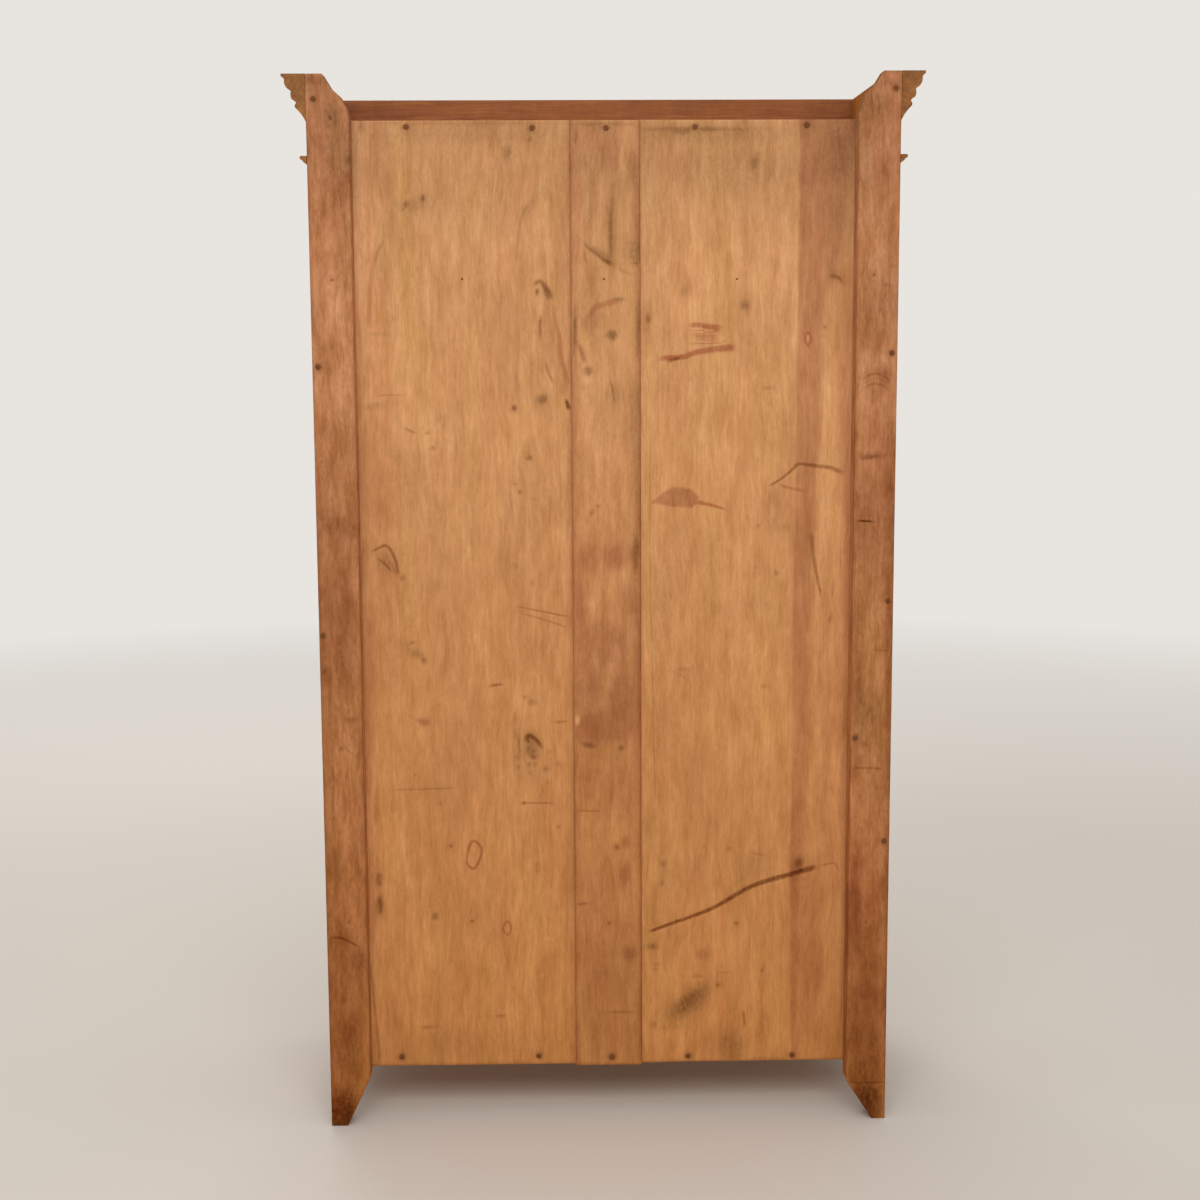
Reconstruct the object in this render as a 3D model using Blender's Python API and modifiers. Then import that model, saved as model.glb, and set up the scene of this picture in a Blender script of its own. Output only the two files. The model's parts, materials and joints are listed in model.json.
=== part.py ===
"""Hall wardrobe: an old softwood wardrobe with one panelled door, in metres, +Z up.

The front faces -Y and the back +Y. Left and right are as seen from the front, so left is -X.
The origin is on the floor, under the middle of the whole object.
"""
import math

import bmesh
import bpy
from mathutils import Matrix, Vector

# Overall size, and the gap kept between pieces that touch
HEIGHT = 1.900
CARCASS_WIDTH = 1.028
CARCASS_DEPTH = 0.480
SEAT_GAP = 0.0003

# Sides, top and bottom
SIDE_THICKNESS = 0.018
SIDE_LOWER_EDGE = 0.076
TOP_BOARD_DROP = 0.079
TOP_BOARD_THICKNESS = 0.022
BOTTOM_BOARD_TOP = 0.122
BOTTOM_BOARD_THICKNESS = 0.022
DADO_DEPTH = 0.008

# Rear posts, with the foot tip that was spliced on
REAR_POST_WIDTH = 0.0735
REAR_POST_THICKNESS = 0.044
REAR_POST_TOP_WIDTH = 0.030
REAR_POST_BEND_WIDTH = 0.043
REAR_POST_BEND_DROP = 0.0225
REAR_POST_KNEE_WIDTH = 0.0615
REAR_POST_KNEE_DROP = 0.041
REAR_POST_TOP_CUT = 0.074
FOOT_TAPER = 0.092
FOOT_WIDTH = 0.030
SPLICED_FOOT_TAPER = 0.076
SPLICED_FOOT_WIDTH = 0.0245
SPLICE_HEIGHT = 0.070

# Back boards: each lower edge was sawn by eye
BACK_THICKNESS = 0.018
BACK_RABBET = 0.011
BACK_TOP_DROP = 0.078
BACK_SEAM_LEFT = -0.063
BACK_SEAM_RIGHT = 0.060
BACK_SEAM_GAP = 0.0010
BACK_LOW_LEFT = 0.099
BACK_LOW_CENTRE = 0.094
BACK_LOW_RIGHT = 0.098

# Front frame
FRONT_THICKNESS = 0.025
FRONT_POST_WIDTH = 0.075
FRONT_PANEL_WIDTH = 0.090
DOOR_POST_WIDTH = 0.060
FRIEZE_WIDTH = 0.165
BOTTOM_RAIL_LOW = 0.080
BOTTOM_RAIL_WIDTH = 0.070

# Grooves, tongues and panels
GROOVE_WIDTH = 0.008
GROOVE_DEPTH = 0.010
TONGUE_LENGTH = 0.0095
PANEL_TONGUE = 0.0080
PANEL_RAISE = 0.0060
PANEL_FLAT = 0.004
DOOR_PANEL_SLOPE = 0.040
FRONT_PANEL_SLOPE = 0.024

# Cornice and astragal
CORNICE_PROJECTION = 0.041
CORNICE_FILLET = 0.005
CORNICE_STEPS = 4
CORNICE_STEP_HEIGHT = 0.0195
CORNICE_SHOULDER_HEIGHT = 0.0055
CORNICE_SHOULDER_SHARE = 0.70
ASTRAGAL_TOP_DROP = 0.141
ASTRAGAL_HEIGHT = 0.015
ASTRAGAL_PROJECTION = 0.011
ASTRAGAL_NOSE = 0.006

# Shelf, hook rail and hooks
SHELF_TOP_DROP = 0.270
SHELF_THICKNESS = 0.018
SHELF_DEPTH = 0.300
SHELF_END_GAP = 0.0006
CLEAT_HEIGHT = 0.030
CLEAT_THICKNESS = 0.020
CLEAT_END_SETBACK = 0.015
HOOK_RAIL_BELOW_SHELF = 0.0225
HOOK_RAIL_HEIGHT = 0.085
HOOK_RAIL_THICKNESS = 0.018
HOOK_RAIL_END_GAP = 0.0006
HOOK_COUNT = 5
HOOK_SPACING = 0.180
HOOK_PLATE_WIDTH = 0.020
HOOK_PLATE_HEIGHT = 0.068
HOOK_PLATE_THICKNESS = 0.004
HOOK_ARM_RADIUS = 0.0036
HOOK_KNOB_RADIUS = 0.0070
HOOK_UPPER_ROOT = 0.012
HOOK_UPPER_REACH = 0.062
HOOK_UPPER_RISE = 0.034
HOOK_LOWER_ROOT = -0.024
HOOK_LOWER_REACH = 0.034
HOOK_LOWER_RISE = 0.020

# Door and its stops
DOOR_GAP = 0.002
DOOR_STILE_WIDTH = 0.085
DOOR_TOP_RAIL_WIDTH = 0.095
DOOR_MIDDLE_RAIL_WIDTH = 0.105
DOOR_MIDDLE_RAIL_CENTRE = 0.760
DOOR_BOTTOM_RAIL_WIDTH = 0.115
DOOR_STOP_THICKNESS = 0.012
DOOR_STOP_OVERLAP = 0.018
DOOR_STOP_SEAT = 0.020
DOOR_STOP_END_SETBACK = 0.015

# Hinges
HINGE_RADIUS = 0.006
HINGE_AXIS_OFFSET = 0.0065
HINGE_KNUCKLE_LENGTH = 0.040
HINGE_PIN_RADIUS = 0.0025
HINGE_PIN_CLEARANCE = 0.0003
HINGE_PIN_FLOOR = 0.003
HINGE_FINIAL_RADIUS = 0.0048
HINGE_LEAF_THICKNESS = 0.0015
HINGE_LEAF_DEPTH = 0.020
HINGE_FROM_DOOR_END = 0.180

# Lock: the key's axis is its reference
LOCK_HEIGHT = 0.960
KEY_SETBACK = 0.043
LOCK_CASE_WIDTH = 0.074
LOCK_CASE_HEIGHT = 0.068
LOCK_CASE_BELOW_KEY = 0.024
LOCK_CASE_DEPTH = 0.016
LOCK_CASE_WALL = 0.0015
LOCK_CASE_SETBACK = 0.002
BOLT_LENGTH = 0.056
BOLT_HEIGHT = 0.018
BOLT_THICKNESS = 0.008
BOLT_ABOVE_KEY = 0.006
BOLT_THROW = 0.012
BOLT_INSET = 0.0015
BOLT_CLEARANCE = 0.0004
KEEP_WALL = 0.002
KEEP_CLEARANCE = 0.0010
KEEP_WIDTH = 0.016
KEEP_SETBACK = 0.003
KEEP_FLANGE = 0.012

# Key, keyhole and escutcheon
KEY_SHANK_RADIUS = 0.0030
KEY_PROJECTION = 0.038
KEY_BOW_DEPTH = 0.010
KEY_BOW_HEIGHT = 0.0125
KEY_BOW_WIRE = 0.0022
KEY_COLLAR_RADIUS = 0.0045
KEY_COLLAR_LENGTH = 0.003
KEY_BIT_REACH = 0.011
KEY_BIT_THICKNESS = 0.003
KEY_BIT_CLEARANCE = 0.0008
KEYHOLE_CLEARANCE = 0.0008
ESCUTCHEON_WIDTH = 0.027
ESCUTCHEON_HEIGHT = 0.048
ESCUTCHEON_THICKNESS = 0.0012

# Levels and planes worked out from the sizes
HALF_WIDTH = CARCASS_WIDTH / 2
INNER_HALF = HALF_WIDTH - SIDE_THICKNESS
FRONT_FACE = (CORNICE_PROJECTION - CARCASS_DEPTH) / 2
FRAME_BACK = FRONT_FACE + FRONT_THICKNESS
REAR_FACE = FRONT_FACE + CARCASS_DEPTH
REAR_POST_FRONT = REAR_FACE - REAR_POST_THICKNESS
BACK_REAR = REAR_POST_FRONT - SEAT_GAP
BACK_FRONT = BACK_REAR - BACK_THICKNESS
FRIEZE_LOW = HEIGHT - FRIEZE_WIDTH
BOTTOM_RAIL_TOP = BOTTOM_RAIL_LOW + BOTTOM_RAIL_WIDTH
TOP_BOARD_TOP = HEIGHT - TOP_BOARD_DROP
SHELF_TOP = HEIGHT - SHELF_TOP_DROP
HOOK_RAIL_TOP = SHELF_TOP - SHELF_THICKNESS - HOOK_RAIL_BELOW_SHELF
HOOK_RAIL_CENTRE = HOOK_RAIL_TOP - HOOK_RAIL_HEIGHT / 2
CORNICE_HEIGHT = CORNICE_FILLET + CORNICE_STEPS * CORNICE_STEP_HEIGHT
FRONT_POST_INNER = HALF_WIDTH - FRONT_POST_WIDTH
DOOR_POST_OUTER = FRONT_POST_INNER - FRONT_PANEL_WIDTH
OPENING_HALF = DOOR_POST_OUTER - DOOR_POST_WIDTH
GROOVE_FRONT = FRONT_FACE + (FRONT_THICKNESS - GROOVE_WIDTH) / 2
GROOVE_BACK = GROOVE_FRONT + GROOVE_WIDTH
DOOR_LOW = BOTTOM_RAIL_TOP + DOOR_GAP
DOOR_HIGH = FRIEZE_LOW - DOOR_GAP
DOOR_HALF = OPENING_HALF - DOOR_GAP
HINGE_X = -OPENING_HALF + DOOR_GAP / 2
HINGE_Y = FRONT_FACE - HINGE_AXIS_OFFSET
KEY_X = DOOR_HALF - KEY_SETBACK
CASE_RIGHT = DOOR_HALF - LOCK_CASE_SETBACK
CASE_BACK = FRAME_BACK + SEAT_GAP + LOCK_CASE_DEPTH
BOLT_FRONT = FRAME_BACK + BOLT_INSET
BOLT_BACK = BOLT_FRONT + BOLT_THICKNESS
BOLT_LOW = LOCK_HEIGHT + BOLT_ABOVE_KEY
BOLT_HIGH = BOLT_LOW + BOLT_HEIGHT
KEYHOLE_RADIUS = KEY_SHANK_RADIUS + KEYHOLE_CLEARANCE
PAST = 0.002  # how far a cutter runs past the face that it opens

# Turns from an outline's own plane to the way a piece lies
FACING_FRONT = Matrix.Rotation(math.pi / 2, 4, "X")
ALONG_WIDTH = Matrix(((0, 0, 1, 0), (1, 0, 0, 0), (0, 1, 0, 0), (0, 0, 0, 1)))

ROUND_SIDES = 16


def clear_scene():
    """Removes whatever the file holds."""
    for obj in list(bpy.data.objects):
        bpy.data.objects.remove(obj, do_unlink=True)


def new_collection(name):
    """A collection linked to the scene."""
    collection = bpy.data.collections.new(name)
    bpy.context.scene.collection.children.link(collection)
    return collection


def new_material(name, colour, roughness, metallic=0.0):
    """A plain Principled material."""
    material = bpy.data.materials.new(name)
    material.use_nodes = True
    shader = material.node_tree.nodes["Principled BSDF"]
    shader.inputs["Base Color"].default_value = (*colour, 1.0)
    shader.inputs["Roughness"].default_value = roughness
    shader.inputs["Metallic"].default_value = metallic
    return material


def world_place(obj):
    """Where an unturned object stands in the world, through its parents."""
    return obj.location + (world_place(obj.parent) if obj.parent else Vector())


def place(name, mesh, material, parent=None):
    """Puts a mesh made in world coordinates into the model, with its origin at its middle."""
    axes = range(3)
    low = Vector([min(v.co[i] for v in mesh.vertices) for i in axes])
    high = Vector([max(v.co[i] for v in mesh.vertices) for i in axes])
    middle = (low + high) / 2
    mesh.transform(Matrix.Translation(-middle))
    mesh.materials.clear()
    mesh.materials.append(material)
    obj = bpy.data.objects.new(name, mesh)
    obj.location = middle
    PARTS.objects.link(obj)
    if parent:
        obj.parent = parent
        obj.location = middle - world_place(parent)
    return obj


def tool(mesh):
    """A hidden object that a Boolean reads."""
    obj = bpy.data.objects.new("tool", mesh)
    obj.hide_render = True
    obj.display_type = "WIRE"
    CUTTERS.objects.link(obj)
    return obj


def combine(obj, mesh, operation):
    """Adds a Boolean with a mesh made in world coordinates."""
    modifier = obj.modifiers.new(operation.lower(), "BOOLEAN")
    modifier.operation = operation
    modifier.object = tool(mesh)


def cut(obj, mesh):
    """Takes a shape out of a piece."""
    combine(obj, mesh, "DIFFERENCE")


def join(obj, mesh):
    """Fuses a shape to a piece."""
    combine(obj, mesh, "UNION")


def evaluated_mesh(obj):
    """The mesh that an object's curve or modifiers give, welded, with its faces pointing out."""
    bpy.context.view_layer.update()
    graph = bpy.context.evaluated_depsgraph_get()
    mesh = bpy.data.meshes.new_from_object(obj.evaluated_get(graph))
    shape = bmesh.new()
    shape.from_mesh(mesh)
    bmesh.ops.remove_doubles(shape, verts=shape.verts, dist=0.000001)
    bmesh.ops.recalc_face_normals(shape, faces=shape.faces)
    shape.to_mesh(mesh)
    shape.free()
    mesh.transform(obj.matrix_world)
    return mesh


def smooth(obj):
    """Shades a round piece smooth, with its real edges sharp."""
    obj.data.shade_smooth()
    obj.data.set_sharp_from_angle(angle=math.radians(40))
    return obj


def box(low, high):
    """A rectangular mesh between two opposite corners."""
    low, high = Vector(low), Vector(high)
    mesh = bpy.data.meshes.new("box")
    shape = bmesh.new()
    bmesh.ops.create_cube(shape, size=1.0)
    bmesh.ops.scale(shape, verts=shape.verts, vec=high - low)
    bmesh.ops.translate(shape, verts=shape.verts, vec=(low + high) / 2)
    shape.to_mesh(mesh)
    shape.free()
    return mesh


def rod(radius, start, end):
    """A cylinder mesh between two points."""
    start, end = Vector(start), Vector(end)
    along = end - start
    turn = along.to_track_quat("Z", "Y").to_matrix().to_4x4()
    mesh = bpy.data.meshes.new("rod")
    shape = bmesh.new()
    bmesh.ops.create_cone(
        shape,
        cap_ends=True,
        segments=ROUND_SIDES,
        radius1=radius,
        radius2=radius,
        depth=along.length,
        matrix=Matrix.Translation((start + end) / 2) @ turn,
    )
    shape.to_mesh(mesh)
    shape.free()
    return mesh


def ball(radius, centre):
    """A sphere mesh."""
    mesh = bpy.data.meshes.new("ball")
    shape = bmesh.new()
    bmesh.ops.create_uvsphere(
        shape,
        u_segments=12,
        v_segments=8,
        radius=radius,
        matrix=Matrix.Translation(centre),
    )
    shape.to_mesh(mesh)
    shape.free()
    return mesh


def spline_object(name, loops, closed, dimensions):
    """A curve object with one straight-sided spline for each list of points."""
    curve = bpy.data.curves.new(name, "CURVE")
    curve.dimensions = dimensions
    for points in loops:
        spline = curve.splines.new("POLY")
        spline.points.add(len(points) - 1)
        for spot, point in zip(spline.points, points):
            spot.co = Vector(point).to_4d()
        spline.use_cyclic_u = closed
    obj = bpy.data.objects.new(name, curve)
    bpy.context.scene.collection.objects.link(obj)
    return obj


def drop_curve(obj):
    """The mesh of a curve object, which is then removed."""
    mesh = evaluated_mesh(obj)
    bpy.data.objects.remove(obj, do_unlink=True)
    return mesh


def merge_flat_faces(mesh):
    """Joins the triangles of each flat face into one face."""
    shape = bmesh.new()
    shape.from_mesh(mesh)
    flat = math.radians(0.05)
    bmesh.ops.dissolve_limit(shape, angle_limit=flat, verts=shape.verts, edges=shape.edges)
    shape.to_mesh(mesh)
    shape.free()


def outline(loops, low, high, turn):
    """A flat outline, with holes if it has more loops, extruded from low to high and turned.

    The outline's plane is (X, Z) when it faces the front, where it is extruded along -Y, and
    (Y, Z) when it runs along the width, where it is extruded along X.
    """
    obj = spline_object("outline", loops, True, "2D")
    obj.data.fill_mode = "BOTH"
    obj.data.extrude = (high - low) / 2
    mesh = drop_curve(obj)
    if len(loops) == 1:
        merge_flat_faces(mesh)
    mesh.transform(turn @ Matrix.Translation((0, 0, (low + high) / 2)))
    return mesh


def wire(points, radius, closed=False):
    """A round bar along a list of points."""
    obj = spline_object("wire", [points], closed, "3D")
    obj.data.bevel_depth = radius
    obj.data.bevel_resolution = 2
    obj.data.use_fill_caps = not closed
    return drop_curve(obj)


def turned(profile, centre):
    """A piece turned about the vertical, from a profile that runs down its outer side."""
    mesh = bpy.data.meshes.new("turned")
    count = len(profile)
    mesh.from_pydata([(r, 0.0, z) for r, z in profile], [(i, i + 1) for i in range(count - 1)], [])
    obj = bpy.data.objects.new("turned", mesh)
    bpy.context.scene.collection.objects.link(obj)
    screw = obj.modifiers.new("turn", "SCREW")
    screw.steps = ROUND_SIDES
    screw.render_steps = ROUND_SIDES
    screw.use_merge_vertices = True
    screw.merge_threshold = 0.00001
    result = evaluated_mesh(obj)
    result.transform(Matrix.Translation(centre))
    bpy.data.objects.remove(obj, do_unlink=True)
    return result


def side_name(stem, side):
    """The name of a left (-1) or right (+1) piece."""
    return stem + ("_left" if side < 0 else "_right")


def mirrored(side, low, high):
    """Two corners given for the right side, moved to the side that is asked for."""
    if side > 0:
        return low, high
    return (-high[0], *low[1:]), (-low[0], *high[1:])


def foot_width_at(z, foot, post_width):
    """How wide a post is at a height on its foot, which is given as (width, taper)."""
    foot_width, taper = foot
    share = min(z / taper, 1.0)
    return foot_width + share * (post_width - foot_width)


def post_outline(side, width, foot, low, high, top):
    """A post's outline on X and Z: tapered foot inside, then up the top's (width, drop) corners."""
    taper = foot[1]
    inward = [(0.0, low), (foot_width_at(low, foot, width), low)]
    if low < taper:
        inward.append((width, taper))
    inward += [(top_width, high - drop) for top_width, drop in top]
    inward.append((0.0, high))
    return [(side * (HALF_WIDTH - u), z) for u, z in inward]


def side_boards():
    """The two sides, grooved for the top and bottom boards and rabbeted for the back."""
    for side in (-1, 1):
        low = (INNER_HALF, FRAME_BACK + SEAT_GAP, SIDE_LOWER_EDGE)
        high = (HALF_WIDTH, REAR_POST_FRONT - SEAT_GAP, HEIGHT)
        board = place(side_name("side_board", side), box(*mirrored(side, low, high)), PINE_FRONT)
        reach = INNER_HALF + DADO_DEPTH
        for top, thickness in (
            (TOP_BOARD_TOP, TOP_BOARD_THICKNESS),
            (BOTTOM_BOARD_TOP, BOTTOM_BOARD_THICKNESS),
        ):
            dado_low = (INNER_HALF - PAST, FRAME_BACK - PAST, top - thickness - SEAT_GAP)
            dado_high = (reach + SEAT_GAP, REAR_FACE, top + SEAT_GAP)
            cut(board, box(*mirrored(side, dado_low, dado_high)))
        rabbet_low = (INNER_HALF - PAST, BACK_FRONT - SEAT_GAP, SIDE_LOWER_EDGE - PAST)
        rabbet_high = (INNER_HALF + BACK_RABBET + SEAT_GAP, REAR_FACE, HEIGHT + PAST)
        cut(board, box(*mirrored(side, rabbet_low, rabbet_high)))


def level_board(name, top, thickness):
    """The top or the bottom board, let into both sides."""
    half = INNER_HALF + DADO_DEPTH
    low = (-half, FRAME_BACK + SEAT_GAP, top - thickness)
    high = (half, BACK_FRONT - SEAT_GAP, top)
    place(name, box(low, high), PINE_INSIDE)


def rear_posts():
    """The posts over the rear edges of the sides, and the tip spliced to the left one's foot."""
    spliced_foot = (SPLICED_FOOT_WIDTH, SPLICED_FOOT_TAPER)
    feet = {-1: (spliced_foot, SPLICE_HEIGHT + SEAT_GAP), 1: ((FOOT_WIDTH, FOOT_TAPER), 0.0)}
    top = (
        (REAR_POST_WIDTH, REAR_POST_TOP_CUT),
        (REAR_POST_KNEE_WIDTH, REAR_POST_KNEE_DROP),
        (REAR_POST_BEND_WIDTH, REAR_POST_BEND_DROP),
        (REAR_POST_TOP_WIDTH, 0.0),
    )
    for side, (foot, low) in feet.items():
        points = post_outline(side, REAR_POST_WIDTH, foot, low, HEIGHT, top)
        mesh = outline([points], -REAR_FACE, -REAR_POST_FRONT, FACING_FRONT)
        place(side_name("rear_post", side), mesh, PINE_POST)
    joint_width = foot_width_at(SPLICE_HEIGHT, spliced_foot, REAR_POST_WIDTH)
    tip = [(0.0, 0.0), (SPLICED_FOOT_WIDTH, 0.0), (joint_width, SPLICE_HEIGHT), (0.0, SPLICE_HEIGHT)]
    if SPLICE_HEIGHT > SPLICED_FOOT_TAPER:
        tip.insert(2, (REAR_POST_WIDTH, SPLICED_FOOT_TAPER))
    points = [(u - HALF_WIDTH, z) for u, z in tip]
    mesh = outline([points], -REAR_FACE, -REAR_POST_FRONT, FACING_FRONT)
    place("rear_foot_tip_left", mesh, PINE_POST)


def back_boards():
    """Three upright boards that lie in the sides' rabbets, in front of the rear posts."""
    edge = INNER_HALF + BACK_RABBET
    half_gap = BACK_SEAM_GAP / 2
    spans = {
        "back_board_left": (-edge, BACK_SEAM_LEFT - half_gap, BACK_LOW_LEFT),
        "back_board_centre": (BACK_SEAM_LEFT + half_gap, BACK_SEAM_RIGHT - half_gap, BACK_LOW_CENTRE),
        "back_board_right": (BACK_SEAM_RIGHT + half_gap, edge, BACK_LOW_RIGHT),
    }
    for name, (left, right, low) in spans.items():
        corners = (left, BACK_FRONT, low), (right, BACK_REAR, HEIGHT - BACK_TOP_DROP)
        place(name, box(*corners), PINE_BACK)


def cut_tongues(piece, low, high, axis):
    """Saws the shoulders of a rail or post, so that a tongue is left at both ends.

    low and high are the corners of the piece's body between its shoulders, and axis is its length.
    """
    sides = (
        (FRONT_FACE - PAST, GROOVE_FRONT + SEAT_GAP),
        (GROOVE_BACK - SEAT_GAP, FRAME_BACK + PAST),
    )
    ends = (
        (low[axis] - TONGUE_LENGTH - PAST, low[axis]),
        (high[axis], high[axis] + TONGUE_LENGTH + PAST),
    )
    for near, far in sides:
        for start, end in ends:
            waste_low = [low[0] - PAST, near, low[2] - PAST]
            waste_high = [high[0] + PAST, far, high[2] + PAST]
            waste_low[axis] = start
            waste_high[axis] = end
            cut(piece, box(waste_low, waste_high))


def rail(name, left, right, low, high, parent=None):
    """A level rail between two uprights, tongued into their grooves."""
    body_low = (left + SEAT_GAP, FRONT_FACE, low)
    body_high = (right - SEAT_GAP, FRAME_BACK, high)
    tongue = Vector((TONGUE_LENGTH, 0, 0))
    piece = place(name, box(Vector(body_low) - tongue, Vector(body_high) + tongue), PINE_FRONT, parent)
    cut_tongues(piece, body_low, body_high, 0)
    return piece


def groove(low_x, high_x, low_z, high_z):
    """A groove's cutter, in the middle of the front frame's thickness."""
    return box((low_x, GROOVE_FRONT, low_z), (high_x, GROOVE_BACK, high_z))


def fielded_panel(name, left, right, low, high, slope, parent=None):
    """A panel with thin edges for the grooves, and a field raised to the front on slopes."""
    rear = GROOVE_BACK - SEAT_GAP
    front = GROOVE_FRONT + SEAT_GAP
    mesh = box(
        (left - PANEL_TONGUE, front, low - PANEL_TONGUE),
        (right + PANEL_TONGUE, rear, high + PANEL_TONGUE),
    )
    shape = bmesh.new()
    shape.from_mesh(mesh)
    shape.faces.ensure_lookup_table()
    face = min(shape.faces, key=lambda f: f.normal.y)
    bmesh.ops.inset_region(shape, faces=[face], thickness=PANEL_TONGUE + PANEL_FLAT)
    bmesh.ops.inset_region(shape, faces=[face], thickness=slope)
    bmesh.ops.translate(shape, verts=face.verts, vec=(0, -PANEL_RAISE, 0))
    shape.to_mesh(mesh)
    shape.free()
    return place(name, mesh, PINE_FRONT, parent)


def front_frame():
    """Posts, rail, frieze and the two fixed panels beside the door."""
    frieze_low = (-HALF_WIDTH, FRONT_FACE, FRIEZE_LOW)
    frieze = place("frieze_board", box(frieze_low, (HALF_WIDTH, FRAME_BACK, HEIGHT)), PINE_FRONT)
    bottom = rail("bottom_rail", -FRONT_POST_INNER, FRONT_POST_INNER, BOTTOM_RAIL_LOW, BOTTOM_RAIL_TOP)
    low = BOTTOM_RAIL_TOP + SEAT_GAP
    high = FRIEZE_LOW - SEAT_GAP
    for side in (-1, 1):
        top = ((FRONT_POST_WIDTH, 0.0),)
        points = post_outline(side, FRONT_POST_WIDTH, (FOOT_WIDTH, FOOT_TAPER), 0.0, high, top)
        mesh = outline([points], -FRAME_BACK, -FRONT_FACE, FACING_FRONT)
        post = place(side_name("front_post", side), mesh, PINE_FRONT)
        reach = FRONT_POST_INNER + GROOVE_DEPTH
        inner, outer = sorted((side * (FRONT_POST_INNER - PAST), side * reach))
        cut(post, groove(inner, outer, BOTTOM_RAIL_LOW - SEAT_GAP, HEIGHT))

        left, right = sorted((side * OPENING_HALF, side * DOOR_POST_OUTER))
        body_low, body_high = (left, FRONT_FACE, low), (right, FRAME_BACK, high)
        tongue = Vector((0, 0, TONGUE_LENGTH))
        mesh = box(Vector(body_low) - tongue, Vector(body_high) + tongue)
        door_post = place(side_name("door_post", side), mesh, PINE_FRONT)
        cut_tongues(door_post, body_low, body_high, 2)
        reach = DOOR_POST_OUTER - GROOVE_DEPTH
        inner, outer = sorted((side * (DOOR_POST_OUTER + PAST), side * reach))
        cut(door_post, groove(inner, outer, low - GROOVE_DEPTH - PAST, HEIGHT))

        span = sorted((side * (OPENING_HALF - SEAT_GAP), side * (FRONT_POST_INNER + GROOVE_DEPTH)))
        cut(frieze, groove(*span, FRIEZE_LOW - PAST, FRIEZE_LOW + GROOVE_DEPTH))
        cut(bottom, groove(*span, BOTTOM_RAIL_TOP - GROOVE_DEPTH, BOTTOM_RAIL_TOP + PAST))

        left, right = sorted((side * DOOR_POST_OUTER, side * FRONT_POST_INNER))
        name = side_name("front_panel", side)
        fielded_panel(name, left, right, BOTTOM_RAIL_TOP, FRIEZE_LOW, FRONT_PANEL_SLOPE)


def cornice_profile():
    """The crown's section as (projection, height): a top fillet and steps with sloped shoulders."""
    step_in = CORNICE_PROJECTION / CORNICE_STEPS
    points = [(SEAT_GAP, HEIGHT), (CORNICE_PROJECTION, HEIGHT)]
    for step in range(CORNICE_STEPS):
        out = CORNICE_PROJECTION - step * step_in
        level = HEIGHT - CORNICE_FILLET - step * CORNICE_STEP_HEIGHT
        points.append((out, level))
        shoulder = out - CORNICE_SHOULDER_SHARE * step_in
        points.append((shoulder, level - CORNICE_SHOULDER_HEIGHT))
    points.append((SEAT_GAP, HEIGHT - CORNICE_HEIGHT))
    return points


def astragal_profile():
    """The bead's section: a flat top, an upright nose and a slope back to the carcass."""
    top = HEIGHT - ASTRAGAL_TOP_DROP
    return [
        (SEAT_GAP, top),
        (ASTRAGAL_PROJECTION, top),
        (ASTRAGAL_PROJECTION, top - ASTRAGAL_NOSE),
        (SEAT_GAP, top - ASTRAGAL_HEIGHT),
    ]


def moulding(stem, profile):
    """A moulding along the front and both sides, mitred at the front corners."""
    reach = HALF_WIDTH + CORNICE_PROJECTION
    points = [(FRONT_FACE - p, z) for p, z in profile]
    front = outline([points], -reach, reach, ALONG_WIDTH)
    for vertex in front.vertices:
        length = HALF_WIDTH + FRONT_FACE - vertex.co.y - SEAT_GAP
        vertex.co.x = math.copysign(length, vertex.co.x)
    place(stem + "_front", front, PINE_FRONT)
    for side in (-1, 1):
        points = [(side * (HALF_WIDTH + p), z) for p, z in profile]
        mesh = outline([points], -REAR_FACE, -FRONT_FACE, FACING_FRONT)
        for vertex in mesh.vertices:
            if vertex.co.y < 0:
                vertex.co.y = FRONT_FACE - (abs(vertex.co.x) - HALF_WIDTH) + SEAT_GAP
        place(side_name(stem, side), mesh, PINE_FRONT)


def coat_hook_mesh():
    """A cast double hook: a plate with a long upper arm and a short lower one, each with a knob."""
    half = HOOK_PLATE_HEIGHT / 2
    plate = box(
        (-HOOK_PLATE_WIDTH / 2, 0.0, -half),
        (HOOK_PLATE_WIDTH / 2, HOOK_PLATE_THICKNESS, half),
    )
    body = bpy.data.objects.new("hook", plate)
    bpy.context.scene.collection.objects.link(body)
    arms = (
        (HOOK_UPPER_ROOT, HOOK_UPPER_REACH, HOOK_UPPER_RISE),
        (HOOK_LOWER_ROOT, HOOK_LOWER_REACH, HOOK_LOWER_RISE),
    )
    steps = 7
    for root, reach, rise in arms:
        points = [(0.0, HOOK_PLATE_THICKNESS / 2, root)]
        for step in range(steps + 1):
            angle = math.pi / 2 * step / steps
            points.append((0.0, -reach * math.sin(angle), root + rise * (1 - math.cos(angle))))
        join(body, wire(points, HOOK_ARM_RADIUS))
        join(body, ball(HOOK_KNOB_RADIUS, (0.0, -reach, root + rise)))
    mesh = evaluated_mesh(body)
    bpy.data.objects.remove(body, do_unlink=True)
    return mesh


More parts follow.
